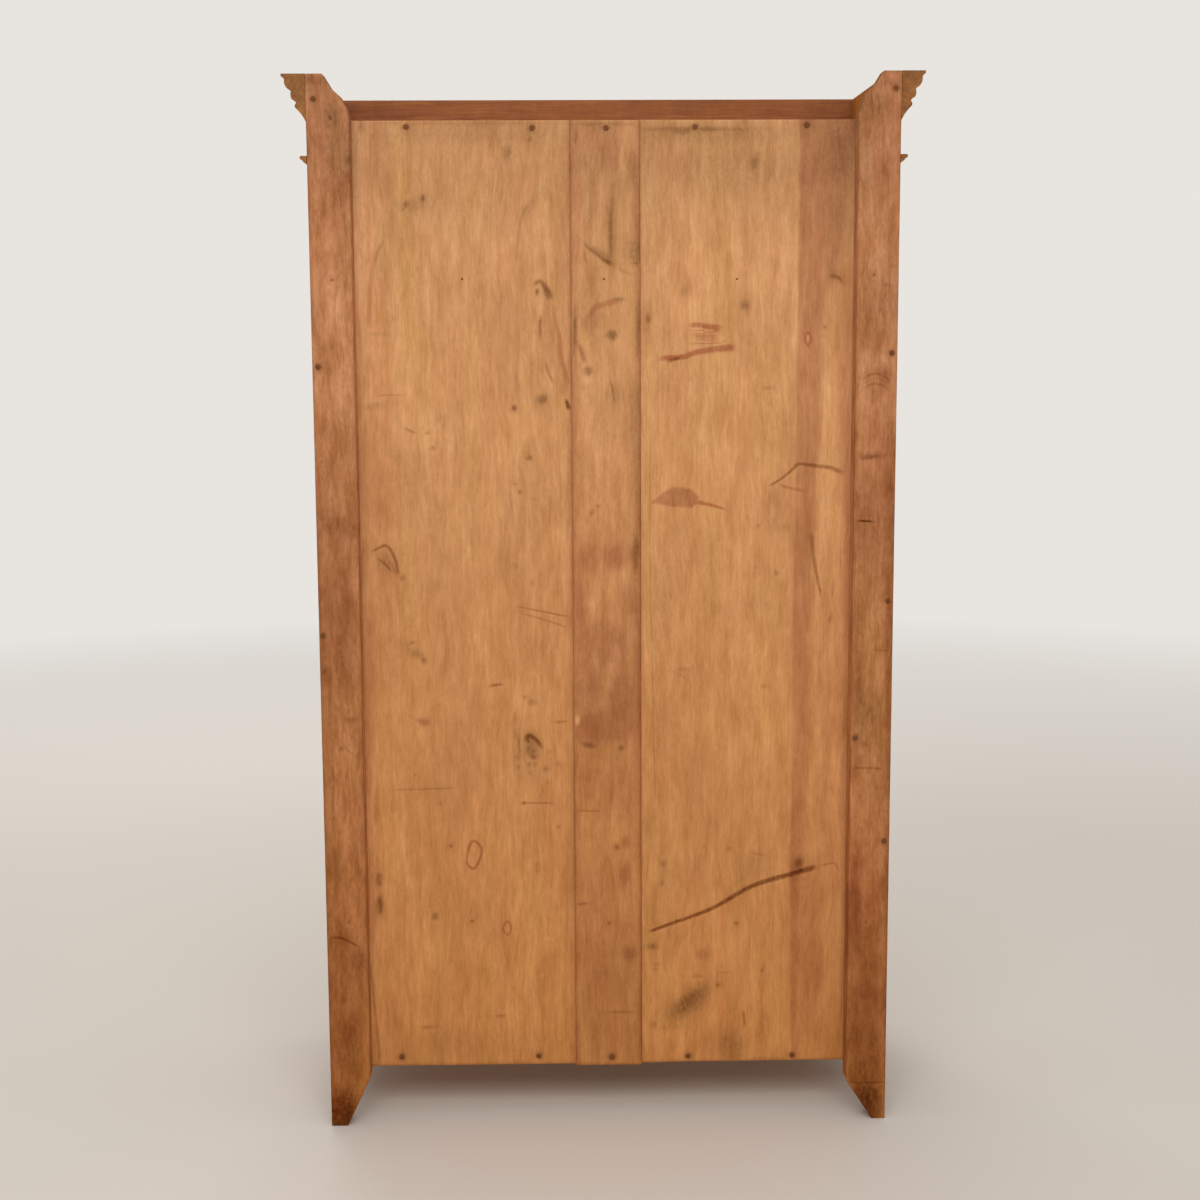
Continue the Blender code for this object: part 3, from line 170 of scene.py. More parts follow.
# Marks of the back, in picture pixels, for each board and post.
# A spot is (x, y, half width, half height, strength), with its lean in degrees added where it leans:
# dark knots and specks, red stains, pale rubbed places and grey dirt. The tall pale spots down the boards
# beside the posts are painted light that lifts the posts' shadow, and the thin pale strip down the outer
# edge of the left post's foot is a painted highlight. A line is (its points, half width at its start and
# end, strength): dark cracks, then reddish strokes and rings.
MARKS = {
    "back_board_right": {
        "dark": (
            (530, 139, 2, 2.2, 0.45), (406, 204, 2.6, 2.6, 0.60), (423, 198, 2.3, 3, 0.60),
            (403, 209, 1.5, 1.5, 0.40), (537, 292, 1.5, 2.6, 0.85), (542, 399, 4.8, 4.4, 0.50),
            (545, 397, 1.5, 2.8, 0.40, 30), (514, 408, 2.6, 3, 0.80), (529, 458, 3.2, 2.2, 0.62, -15),
            (520, 492, 1.6, 1.6, 0.75), (515, 484, 2.2, 1.1, 0.35), (534, 499, 3.6, 0.9, 0.32),
            (433, 448, 2.4, 2, 0.50), (428, 433, 3, 1.1, 0.42, -5), (412, 643, 3, 1.8, 0.50, -20),
            (424, 660, 2.4, 2.4, 0.60, 30), (417, 654, 8, 4, 0.36, 20), (419, 720, 3, 1.6, 0.34),
            (525, 697, 3, 2, 0.40, 20), (532, 702, 4.2, 2.6, 0.42, 10), (528, 740, 2.6, 3.4, 0.60, -15),
            (533, 757, 3.6, 2.2, 0.60, 10), (534, 751, 1.3, 1.3, 0.55), (529, 751, 3.4, 5.4, 0.30),
            (515, 734, 1.6, 6, 0.40), (519, 742, 1.6, 8, 0.42), (520, 751, 1.5, 3, 0.50),
            (518, 757, 4, 3, 0.30), (529, 764, 1.5, 2.5, 0.50), (535, 764, 1.6, 2, 0.40),
            (546, 769, 3, 2.6, 0.42), (559, 764, 3.2, 1.5, 0.34, 20), (549, 752, 1.5, 1.5, 0.40),
            (518, 767, 2, 2.6, 0.34), (530, 773, 1.6, 1.6, 0.30), (547, 782, 2, 1.6, 0.24),
            (451, 846, 1.6, 1.6, 0.65), (435, 916, 3.6, 3.4, 0.65), (472, 921, 1.6, 1.6, 0.75),
            (379, 880, 3.2, 8, 0.60), (380, 905, 3.4, 9.5, 0.85), (376, 813, 3.4, 9, 0.26),
            (440, 804, 1.6, 1.6, 0.40), (524, 803, 1.8, 1.8, 0.55), (501, 1016, 4, 1.3, 0.50),
            (429, 1027, 6, 1.5, 0.50, -5), (559, 827, 2.2, 2, 0.32), (532, 583, 2, 3, 0.25),
            (403, 578, 3, 2.4, 0.40, 40), (462, 123, 90, 2.4, 0.25), (361, 125, 3, 8, 0.40),
        ),
        "red": (
            (362, 420, 8, 230, 0.12), (366, 690, 9, 80, 0.40), (374, 930, 7, 120, 0.08),
            (562, 215, 9, 90, 0.46), (549, 325, 6, 20, 0.46, -8), (555, 354, 7, 20, 0.52, -8),
            (562, 380, 7, 18, 0.55, -12), (500, 330, 4, 60, 0.20), (462, 230, 4, 60, 0.18),
            (473, 443, 1.4, 12, 0.35), (506, 520, 4, 60, 0.26), (420, 330, 5, 70, 0.14),
            (568, 620, 3, 420, 0.30), (440, 560, 5, 50, 0.20), (404, 690, 6, 60, 0.18),
            (540, 790, 5, 60, 0.16), (500, 920, 14, 70, 0.24), (395, 1000, 8, 50, 0.18),
            (425, 722, 6, 3.6, 0.85), (515, 718, 1.4, 6.5, 0.80),
        ),
        "pale": (
            # The pale spots at x 357 to 374, down the edge beside the post, are painted light that lifts the
            # post's shadow
            (357, 225, 9, 100, 0.95), (360, 380, 8, 60, 0.50), (367, 690, 6, 60, 0.25),
            (370, 830, 7, 60, 0.80), (374, 970, 7, 80, 1.20), (534, 674, 4, 2, 0.60),
            (548, 939, 2, 2, 0.70), (543, 975, 1.6, 1.6, 0.70), (456, 215, 5, 70, 0.26),
            (469, 551, 1.4, 6, 0.70), (478, 190, 4, 60, 0.22), (430, 270, 5, 60, 0.20),
            (508, 230, 4, 60, 0.18), (444, 470, 10, 60, 0.16), (536, 560, 8, 60, 0.14),
            (466, 780, 12, 70, 0.14), (512, 300, 5, 34, 0.20),
        ),
        "grey": (
            (507, 152, 4, 7, 0.70, 10), (374, 406, 9, 3, 0.50, -15), (379, 334, 10, 2.6, 0.30),
            (386, 562, 10, 13, 0.45, -20), (547, 293, 3.6, 8, 0.60, -30), (532, 748, 7, 10, 0.80),
            (524, 757, 14, 24, 0.26), (530, 206, 5, 16, 0.34, 30), (440, 180, 3, 60, 0.18),
            (414, 205, 18, 7, 0.30, -8), (470, 134, 100, 9, 0.26), (518, 340, 2, 18, 0.35),
            (516, 380, 2, 14, 0.30), (523, 522, 2, 18, 0.36), (511, 508, 2, 12, 0.26),
            (470, 1046, 110, 16, 0.18), (385, 250, 12, 40, 0.18, 10), (515, 566, 3, 3, 0.28),
            (542, 400, 5, 4.6, 0.50), (410, 500, 4, 40, 0.16), (545, 640, 5, 40, 0.14),
        ),
        "cracks": (
            (((384, 240), (376, 256), (371, 280), (368, 330)), (1.4, 1.9), 0.30),
            (((533, 288), (536, 283), (541, 282), (547, 290), (551, 301)), (1.3, 3.0), 0.62),
            (((541, 314), (540, 326), (541, 341)), (1.2, 1.4), 0.50),
            (((545, 359), (547, 368), (549, 374), (554, 385)), (1.5, 1.0), 0.46),
            (((566, 398), (567, 403), (570, 411)), (1.3, 2.0), 0.95),
            (((530, 203), (522, 215), (518, 235), (516, 264)), (1.2, 1.0), 0.22),
            (((370, 553), (379, 548), (387, 546), (395, 559), (399, 578)), (1.1, 1.4), 0.60),
            (((376, 558), (385, 564), (393, 573)), (1.0, 1.0), 0.52),
            (((515, 606), (540, 611), (570, 617)), (0.7, 0.8), 0.42),
            (((526, 743), (527, 737), (531, 736), (536, 740), (540, 745), (542, 750)), (2.0, 1.5), 0.85),
            (((392, 790), (430, 789), (457, 788)), (0.8, 0.8), 0.24),
            (((518, 803), (535, 803), (556, 803)), (0.9, 0.8), 0.38),
            (((551, 722), (560, 722), (570, 721)), (1.2, 1.0), 0.36),
            (((370, 958), (374, 1000), (377, 1030), (380, 1066)), (0.9, 1.2), 0.32),
            (((376, 396), (390, 395), (406, 396)), (0.8, 0.8), 0.26),
            (((403, 427), (410, 431), (418, 434)), (1.0, 1.0), 0.40),
        ),
        "strokes": (
            (((488, 687), (495, 685), (504, 684)), (1.2, 1.0), 0.95),
            (((474, 841), (482, 850), (475, 868), (467, 863), (469, 847), (474, 841)), (1.1, 1.1), 0.80),
            (((507, 921), (511, 927), (508, 935), (503, 929), (507, 921)), (0.9, 0.9), 0.62),
            (((538, 862), (540, 867), (538, 873), (536, 867), (538, 862)), (0.7, 0.7), 0.35),
            (((521, 613), (545, 620), (570, 628)), (0.8, 0.9), 0.44),
            (((552, 302), (556, 324), (560, 341), (562, 361), (569, 386)), (1.6, 1.8), 0.46),
        ),
    },
    "back_board_centre": {
        "dark": (
            (608, 261, 4.2, 2.4, 0.44, 28), (634, 243, 2.6, 1, 0.34, 10), (636, 250, 3, 1, 0.34, -8),
            (633, 257, 3.4, 1.1, 0.36, 6), (636, 263, 3.2, 1.2, 0.42), (588, 371, 4.4, 4.6, 0.58),
            (612, 335, 4.6, 4.8, 0.34), (598, 506, 1.8, 1.8, 0.45), (592, 513, 1.8, 3.4, 0.45, 20),
            (588, 745, 7, 2.6, 0.60, 12), (621, 748, 3.2, 2.8, 0.60), (617, 847, 2.8, 2.8, 0.60),
            (609, 923, 1.7, 1.7, 0.60), (630, 954, 8, 7, 0.40), (637, 545, 2.2, 9, 0.60),
            (639, 330, 3, 32, 0.58), (636, 552, 3.4, 22, 0.55), (634, 273, 1.6, 1.4, 0.35),
            (575, 330, 2, 24, 0.55), (620, 1012, 14, 0.9, 0.38), (583, 904, 6, 1.2, 0.48, -4),
            (606, 124, 36, 2, 0.28), (576, 136, 2, 8, 0.40), (610, 712, 32, 36, 0.14),
        ),
        "red": (
            (600, 215, 30, 120, 0.50), (609, 154, 12, 27, 0.85), (634, 168, 7, 20, 0.75),
            (594, 191, 2.2, 14, 0.36), (577, 250, 5, 24, 0.60), (596, 320, 17, 12, 0.52, -15),
            (582, 352, 3, 12, 0.70, -20), (586, 560, 14, 16, 0.80), (618, 556, 18, 14, 1.00, -8),
            (580, 600, 8, 38, 0.95), (628, 612, 10, 30, 0.92), (606, 642, 34, 26, 1.00),
            (586, 690, 16, 44, 1.00), (622, 700, 18, 44, 1.15), (604, 726, 36, 22, 1.15),
            (606, 785, 36, 36, 0.70), (626, 843, 4.6, 7, 1.00), (624, 877, 6, 17, 1.05, 12),
            (606, 950, 36, 120, 0.58), (634, 960, 7, 80, 0.44), (578, 930, 5, 60, 0.36),
            (600, 1040, 30, 20, 0.30), (637, 670, 7, 130, 0.90), (614, 610, 3, 12, 0.50),
            (592, 640, 3, 16, 0.45), (600, 690, 3, 30, 0.50),
        ),
        "pale": (
            (577.5, 720, 2.2, 4.8, 2.30), (580, 678, 5, 1.4, 0.60, -35), (586, 604, 7, 4, 0.45),
            (616, 651, 5, 7, 1.00), (611, 676, 3.2, 16, 0.85), (597, 664, 2.2, 12, 0.75),
            (622, 162, 2.4, 18, 0.80), (606, 700, 2, 22, 0.50), (590, 628, 2.4, 14, 0.50),
            (628, 650, 2, 16, 0.45), (582, 170, 2, 18, 0.40), (587, 203, 2.4, 8, 0.45),
            (602, 212, 3.6, 26, 0.42), (600, 420, 12, 60, 0.22), (620, 230, 3, 26, 0.34),
            (596, 234, 3, 14, 0.30), (618, 285, 6, 16, 0.22), (600, 470, 10, 30, 0.20),
            (628, 215, 2, 26, 0.30),
        ),
        "grey": (
            (611, 236, 2.4, 28, 0.85), (612, 200, 1.6, 14, 0.40), (600, 254, 15, 4.2, 0.66, 34),
            (634, 253, 7, 12, 0.62), (612, 335, 4.2, 4.6, 1.00), (606, 336, 3, 1.8, 0.50),
            (614, 395, 9, 14, 0.44), (590, 310, 14, 50, 0.28), (590, 200, 2, 46, 0.30),
            (634, 420, 5, 40, 0.30), (606, 1000, 34, 60, 0.16), (575, 336, 2.6, 28, 0.35),
            (640, 470, 5, 60, 0.22), (604, 400, 5, 26, 0.20), (626, 430, 3, 30, 0.26),
            (626, 272, 8, 1.6, 0.45, 24), (620, 299, 6, 1.9, 0.60), (582, 163, 6, 10, 0.30),
        ),
        "cracks": (
            (((583, 240), (588, 248), (597, 254), (605, 261), (615, 266)), (0.8, 1.7), 0.40),
            (((609, 376), (613, 391), (615, 405)), (0.9, 0.9), 0.42),
            (((575, 811), (588, 811), (603, 812)), (0.8, 0.8), 0.32),
        ),
        "strokes": (
            (((584, 250), (585, 258), (588, 266)), (1.2, 1.0), 0.50),
            (((578, 343), (582, 354), (586, 366)), (1.6, 2.0), 0.55),
            (((586, 322), (594, 309), (604, 304), (623, 300)), (2.4, 2.2), 0.50),
        ),
    },
    "back_board_left": {
        "dark": (
            (648, 319, 1.8, 4.2, 0.40), (692, 129, 48, 1.9, 0.45), (683, 132, 10, 2.4, 0.36),
            (755, 163, 2.6, 7, 0.20, 25), (745, 305, 3.6, 3.8, 0.50), (836, 278, 4.4, 2, 0.16, 20),
            (825, 327, 2, 2.2, 0.55), (769, 388, 5, 1.5, 0.40), (776, 573, 1.6, 3, 0.42, -20),
            (684, 669, 6, 1.5, 0.28), (765, 686, 3, 1.8, 0.32), (799, 863, 4.2, 6, 0.72, 15),
            (800, 870, 3.4, 2.2, 0.60, -10), (664, 863, 2.8, 2.8, 0.45, -30), (661, 883, 3, 4.4, 0.30),
            (652, 946, 4.8, 2.2, 0.36), (657, 964, 3.4, 1.2, 0.40), (656, 969, 3, 1, 0.34),
            (736, 923, 1.7, 1.5, 0.70), (729, 849, 2.4, 1.6, 0.50, 40), (702, 955, 7, 5, 0.20),
            (689, 1000, 18, 6, 0.40, -40), (684, 1009, 2, 2, 0.75), (697, 976, 5, 1.2, 0.40),
            (718, 985, 2.2, 1.8, 0.42), (762, 970, 1.3, 3, 0.50, 15), (654, 1024, 2.8, 2.8, 0.32),
            (728, 1046, 13, 14, 0.20), (733, 1057, 11, 5, 0.30), (705, 1045, 2.6, 8, 0.24),
            (672, 1045, 2.6, 5, 0.20), (833, 591, 1.1, 9, 0.40, 3), (830, 618, 1.4, 5, 0.42, 10),
            (758, 526, 1.7, 1.7, 0.40), (787, 527, 4, 3, 0.28, 30), (766, 1060, 18, 3, 0.40),
            (812, 1061, 14, 2, 0.28), (726, 972, 7, 0.8, 0.24), (704, 846, 1.5, 1.5, 0.3),
        ),
        "red": (
            (648, 319, 2, 4.6, 0.80), (647, 329, 1.5, 1.8, 0.55), (689, 288, 5, 6, 0.55),
            (705, 344, 10, 2, 0.32, 5), (777, 512, 20, 26, 0.40), (774, 500, 8, 11, 0.55, -30),
            (831, 175, 7, 56, 0.85), (849, 640, 8, 330, 0.65), (846, 390, 9, 70, 0.70),
            (812, 955, 7, 76, 0.55), (793, 920, 3, 60, 0.62), (700, 150, 56, 26, 0.12),
            (803, 640, 5, 110, 0.42), (809, 555, 6, 24, 0.40), (703, 954, 8, 6, 0.35),
            (811, 985, 15, 46, 0.60), (668, 600, 5, 80, 0.14), (742, 700, 5, 80, 0.14),
            (715, 220, 4, 60, 0.14), (769, 240, 14, 50, 0.18), (826, 720, 5, 120, 0.22),
            (844, 880, 6, 90, 0.34), (832, 345, 12, 44, 0.24),
        ),
        "pale": (
            # The pale spots at x 839 to 851, down the edge beside the post, are painted light that lifts the
            # post's shadow
            (850, 225, 7, 100, 0.24), (851, 380, 8, 80, 0.75), (846, 520, 10, 60, 0.90),
            (846, 650, 8, 70, 1.00), (842, 770, 8, 50, 0.60), (839, 890, 6, 60, 0.40),
            (808, 339, 1.5, 5, 1.00), (829, 430, 7, 110, 0.36), (828, 520, 8, 34, 0.30),
            (692, 906, 4, 1.6, 0.34), (801, 900, 1.8, 26, 0.42), (784, 300, 5, 110, 0.22),
            (690, 262, 18, 46, 0.14), (720, 470, 20, 60, 0.14), (736, 610, 14, 60, 0.14),
            (830, 983, 7, 11, 0.34), (660, 540, 6, 50, 0.14), (766, 800, 10, 50, 0.12),
        ),
        "grey": (
            (745, 306, 5.6, 8, 0.36), (838, 236, 13, 44, 0.34), (842, 150, 14, 36, 0.50),
            (660, 240, 20, 60, 0.12), (690, 1002, 26, 11, 0.80, -40), (672, 1026, 14, 4, 0.36, -10),
            (730, 1044, 14, 16, 0.46), (752, 866, 30, 14, 0.18, -10), (688, 870, 26, 12, 0.18, -35),
            (755, 163, 5, 10, 0.45, 25), (700, 134, 64, 9, 0.36), (730, 170, 60, 22, 0.18),
            (684, 291, 3.4, 5.4, 0.36), (760, 1030, 2.2, 16, 0.42, 6), (836, 275, 8, 8, 0.50),
            (652, 946, 6, 4, 0.40), (662, 872, 5, 14, 0.20), (720, 985, 6, 5, 0.30),
        ),
        "cracks": (
            (
                ((767, 487), (781, 479), (793, 469), (799, 464), (816, 466), (831, 468), (845, 474)),
                (0.9, 1.7),
                0.62,
            ),
            (((811, 530), (813, 552), (817, 577), (822, 599)), (1.8, 0.9), 0.52),
            (
                (
                    (647, 932), (669, 924), (690, 917), (715, 907),
                    (748, 888), (770, 880), (792, 874), (819, 866),
                ),
                (1.2, 2.1),
                0.86,
            ),
            (((818, 867), (828, 864), (836, 864), (840, 874)), (0.9, 0.8), 0.34),
            (((650, 430), (650, 560), (653, 700), (655, 800)), (0.6, 0.6), 0.22),
            (((665, 362), (673, 360), (682, 357)), (1.4, 1.2), 0.62),
            (((743, 1008), (744, 1018), (745, 1029)), (0.9, 1.2), 0.55),
            (((749, 851), (757, 854), (767, 856)), (0.8, 0.8), 0.26),
        ),
        "strokes": (
            (((828, 278), (834, 276), (840, 279), (844, 285)), (1.6, 1.2), 0.70),
            (((687, 325), (698, 325), (710, 327), (724, 329)), (1.6, 2.9), 0.90),
            (((691, 334), (704, 336), (720, 337)), (1.7, 2.3), 0.60),
            (((694, 339), (706, 340), (721, 342)), (0.9, 0.9), 0.42),
            (((657, 360), (665, 358), (683, 357), (694, 353), (709, 350), (737, 347)), (1.8, 2.8), 0.95),
            (((777, 484), (790, 488), (806, 491)), (1.2, 1.2), 0.55),
            (((693, 501), (711, 505), (728, 510)), (1.9, 0.9), 0.85),
            (((660, 668), (680, 674), (690, 682)), (0.9, 0.9), 0.22),
            (((808, 332), (811, 338), (808, 346), (805, 338), (808, 332)), (0.9, 0.9), 0.60),
        ),
    },
    "rear_post_right": {
        "dark": (
            (330, 118, 2.2, 2.4, 0.55), (341, 749, 2.2, 2.2, 0.45), (325, 671, 1.6, 3, 0.60),
            (322, 515, 7, 12, 0.34, 30), (352, 535, 9, 6, 0.34, 20), (328, 605, 9, 20, 0.30),
            (348, 159, 2, 3, 0.70), (332, 280, 1.4, 1.4, 0.85), (342, 527, 24, 9, 0.40, 18),
            (346, 640, 10, 50, 0.30), (352, 720, 7, 2.4, 0.36), (333, 790, 1.6, 40, 0.34),
            (336, 880, 4, 30, 0.30), (349, 922, 1.6, 1.6, 0.60), (345, 1050, 16, 40, 0.40),
            (342, 1112, 18, 24, 0.90), (330, 700, 1.6, 40, 0.28), (357, 960, 9, 12, 0.40),
            (310, 80, 20, 4, 0.30), (344, 1000, 10, 3, 0.28, -10), (346, 975, 18, 40, 0.20),
        ),
        "red": (
            (330, 230, 22, 120, 0.12), (342, 600, 16, 120, 0.42), (348, 990, 18, 80, 0.55),
            (325, 480, 8, 60, 0.20), (356, 800, 6, 90, 0.26), (347, 1085, 16, 18, 0.40),
        ),
        "pale": (
            (344, 756, 12, 40, 0.44), (349, 820, 8, 40, 0.20), (330, 340, 12, 70, 0.22),
            (345, 110, 4, 14, 0.30), (344, 180, 5, 1.2, 0.35, -10), (352, 870, 5, 34, 0.20),
        ),
        "grey": (
            (331, 116, 8, 15, 0.55), (314, 84, 18, 9, 0.30), (345, 1118, 14, 10, 0.40),
            (342, 152, 16, 26, 0.40), (325, 640, 5, 40, 0.2),
        ),
        "cracks": (
            (((330, 938), (340, 938), (350, 942), (361, 948)), (0.9, 0.9), 0.60),
            (((342, 742), (347, 750), (354, 756)), (0.9, 0.8), 0.26),
        ),
        "strokes": (),
    },
    "rear_post_left": {
        "dark": (
            (874, 275, 1.4, 1.4, 0.80), (885, 372, 2.6, 1.2, 0.60, 35), (870, 457, 9, 2.2, 0.75, -4),
            (874, 456, 20, 4, 0.30), (861, 488, 1.6, 1.8, 0.50), (890, 560, 6, 90, 0.32),
            (889, 700, 4, 60, 0.26), (855, 908, 7, 56, 0.16), (868, 992, 16, 10, 0.36),
            (866, 922, 1.8, 1.8, 0.60), (862, 700, 4, 30, 0.24), (872, 714, 3, 10, 0.30, -15),
            (864, 744, 5, 4, 0.32), (866, 1060, 18, 46, 0.40), (866, 1104, 18, 26, 0.80),
            (893, 266, 5, 2, 0.24, 20), (880, 780, 8, 30, 0.10), (876, 830, 10, 14, 0.06),
            (893, 82, 10, 3, 0.24), (860, 640, 5, 34, 0.24), (870, 970, 20, 60, 0.20),
            (872, 520, 18, 60, 0.10),
        ),
        "red": (
            (855, 908, 7.5, 56, 1.10), (889, 720, 4, 100, 0.60), (880, 490, 20, 90, 0.46),
            (876, 920, 20, 90, 0.40), (856, 600, 4, 300, 0.40), (880, 180, 16, 60, 0.20),
            (868, 1012, 18, 50, 0.65),
        ),
        "pale": (
            # The thin pale strip at (883, 1070), down the foot's outer edge, is a painted highlight where
            # that edge catches light
            (876, 360, 13, 10, 0.50), (877, 382, 14, 8, 0.44, 10), (883, 1070, 2, 50, 0.90),
            (868, 740, 14, 52, 0.58), (866, 810, 12, 40, 0.52), (870, 330, 8, 40, 0.14),
            (872, 840, 14, 30, 0.70),
        ),
        "grey": (
            (877, 380, 15, 12, 0.26), (868, 715, 14, 34, 0.36), (868, 1102, 12, 18, 0.60),
            (888, 285, 5, 2.4, 0.70, 10), (866, 160, 6, 40, 0.20), (880, 300, 18, 36, 0.40),
            (872, 106, 16, 16, 0.34),
        ),
        "cracks": (
            (((855, 521), (866, 521), (876, 522)), (0.9, 0.9), 0.90),
            (((868, 650), (878, 650), (890, 651)), (0.8, 0.8), 0.28),
            (((850, 768), (866, 768), (886, 769)), (0.9, 0.9), 0.34),
            (((862, 722), (868, 712), (876, 704)), (1.1, 1.0), 0.18),
            (((848, 1083), (862, 1083), (884, 1082)), (0.9, 0.9), 0.16),
        ),
        "strokes": (
            (((862, 380), (872, 374), (884, 376), (892, 384)), (1.0, 1.0), 0.50),
            (((862, 390), (872, 384), (884, 386), (892, 394)), (1.0, 1.0), 0.46),
        ),
    },
}
MARKS["rear_foot_tip_left"] = MARKS["rear_post_left"]
# The leaf-shaped stain and the strip of redder heartwood on the left board, the strip as
# (height, left edge, right edge, strength) in the picture, then how soft their rims are
LEAF_STAIN = (
    (651, 502.5), (658, 497), (665, 491), (675, 486.5), (684, 487.5), (692, 489.5), (699, 497), (695, 501),
    (697, 503.5), (692, 508), (672, 506.5),
)
HEARTWOOD = (
    (120, 800, 860, 0.95), (170, 800, 850, 0.90), (240, 799, 843, 0.85),
    (300, 798, 826, 0.80), (420, 797, 820, 0.55), (520, 794, 815, 0.95),
    (620, 793, 811, 0.85), (740, 792, 809, 0.52), (870, 790, 801, 0.95),
    (960, 790, 799, 0.90), (1060, 791, 798, 0.70),
)
HEARTWOOD_RIMS = (2.5, 9.0)
LEAF_RIM = 1.6

# Nails and screw tips of the back, in picture pixels, and the rust stain round a nail
BOARD_NAILS = (
    (406, 127), (532, 128), (606, 128), (695, 127), (807, 125),
    (402, 1057), (539, 1056), (612, 1057), (688, 1056), (792, 1055),
)
POST_NAILS = (
    (313, 99), (318, 367), (323, 636),
    (896, 88), (892, 353), (888, 601), (884, 841), (855, 738),
)
SCREW_TIPS = ((462, 279), (604, 279), (737, 279))
NAIL_STAIN = 4.0
NAIL_RUST = 0.55
NAIL_RADIUS = 0.0048
SCREW_TIP_RADIUS = 0.0018


def smooth_path(spots, between=5):
    """A rounder path through spots: a Catmull-Rom curve, read at even steps between each two."""
    spots = np.array(spots, float)
    closed = np.allclose(spots[0], spots[-1])
    before = spots[-2] if closed else 2 * spots[0] - spots[1]
    after = spots[1] if closed else 2 * spots[-1] - spots[-2]
    a, b, c, d = (np.vstack((before, spots, after))[i : len(spots) - 1 + i, None] for i in range(4))
    t = np.linspace(0, 1, between, endpoint=False)[None, :, None]
    curve = b + 0.5 * t * (c - a + t * (2 * a - 5 * b + 4 * c - d + t * (3 * (b - c) + d - a)))
    return np.vstack((curve.reshape(-1, 2), spots[-1:]))


def spot_field(places, spots):
    """The strongest of the spots at each place: strength over one plus the fourth power of how far out.

    How far out is the place's distance from the middle along and across the lean, over the half sizes.
    """
    field = np.zeros(len(places))
    for x, y, half_width, half_height, strength, *lean in spots:
        turn = math.radians(lean[0] if lean else 0)
        across, down = places[:, 0] - x, places[:, 1] - y
        along = (across * math.cos(turn) + down * math.sin(turn)) / half_width
        aside = (down * math.cos(turn) - across * math.sin(turn)) / half_height
        field = np.maximum(field, strength / (1 + (along**2 + aside**2) ** 2))
    return field


def line_field(places, lines, fade=7.0, reach=6.0):
    """The nearest line at each place: signed distance in half widths, and its strength.

    The half width goes evenly from the line's start to its end. The sign is the side of the line, so
    that a finish can find its middle between two grid points. The strength fades towards the line's
    ends and away from it, and is nothing at the reach in half widths.
    """
    nearest = np.full(len(places), reach)
    level = np.zeros(len(places))
    for spots, (first, last), strength in lines:
        path = smooth_path(spots)
        closed = np.allclose(path[0], path[-1])
        steps = np.diff(path, axis=0)
        lengths = np.linalg.norm(steps, axis=1)
        begun = np.concatenate(([0.0], np.cumsum(lengths)))
        total = begun[-1]
        for start, step, length, run in zip(path[:-1], steps, lengths, begun):
            away = places - start
            share = np.clip(away @ step / length**2, 0, 1)
            gap = np.linalg.norm(away - share[:, None] * step, axis=1)
            side = np.where(step[0] * away[:, 1] - step[1] * away[:, 0] < 0, -1.0, 1.0)
            done = run + share * length
            distance = side * gap / (first + (last - first) * done / total)
            ends = np.clip(np.minimum(done, total - done) / min(fade, 0.3 * total), 0.0, 1.0)
            here = strength * (1.0 if closed else ends) * np.clip(2 - 2 * np.abs(distance) / reach, 0, 1)
            nearer = np.abs(distance) < np.abs(nearest)
            nearest = np.where(nearer, distance, nearest)
            level = np.where(nearer, here, level)
    return nearest, level


def patch_field(places, outline, soft):
    """A patch inside a closed outline: one within it and nothing outside, across a soft rim.

    A place is inside if a level ray from it crosses the outline an odd number of times.
    """
    outline = np.array(outline, float)
    inside = np.zeros(len(places), bool)
    nearest = np.full(len(places), np.inf)
    for start, end in zip(outline, np.roll(outline, -1, 0)):
        step = end - start
        away = places - start
        share = np.clip(away @ step / (step @ step), 0, 1)
        nearest = np.minimum(nearest, np.linalg.norm(away - share[:, None] * step, axis=1))
        level = (start[1] > places[:, 1]) != (end[1] > places[:, 1])
        inside ^= level & ((away[:, 0] * step[1] < away[:, 1] * step[0]) != (step[1] < 0))
    return np.clip(0.5 + np.where(inside, nearest, -nearest) / soft, 0, 1)


def heartwood_field(places):
    """The redder strip: full between two edges that run down the board, crisp at its left."""
    heights, *edges, strengths = np.array(HEARTWOOD, float).T
    left, right = (np.interp(places[:, 1], heights, edge) for edge in edges)
    crisp = np.clip((places[:, 0] - left) / HEARTWOOD_RIMS[0] + 0.5, 0, 1)
    soft = np.clip((right - places[:, 0]) / HEARTWOOD_RIMS[1] + 0.5, 0, 1)
    return crisp * soft * np.interp(places[:, 1], heights, strengths)


# A dark spot is a knot if it is strong and small enough; it pushes the grain over its reach in sizes
KNOT_STRENGTH, LEAST_KNOT, LARGEST_KNOT = 0.5, 2.5, 8
KNOT_PUSH, KNOT_REACH_ACROSS, KNOT_REACH_ALONG = 0.8, 3.2, 8.0


def knot_flow(places, spots):
    """How far knots push the grain aside, in pixels: the offset from each, fading as a bell curve."""
    push = np.zeros(len(places))
    for x, y, half_width, half_height, strength, *_ in spots:
        if strength > KNOT_STRENGTH and max(half_width, half_height) < LARGEST_KNOT:
            size = max(half_width, half_height, LEAST_KNOT)
            across, down = places[:, 0] - x, places[:, 1] - y
            fading = (across / (KNOT_REACH_ACROSS * size)) ** 2 + (down / (KNOT_REACH_ALONG * size)) ** 2
            push += KNOT_PUSH * across * np.exp(-fading)
    return push


# Stains, in the order in which the finishes read them
STAINS = ("red", "dark", "pale", "grey")
RED, DARK, PALE, GREY = range(4)


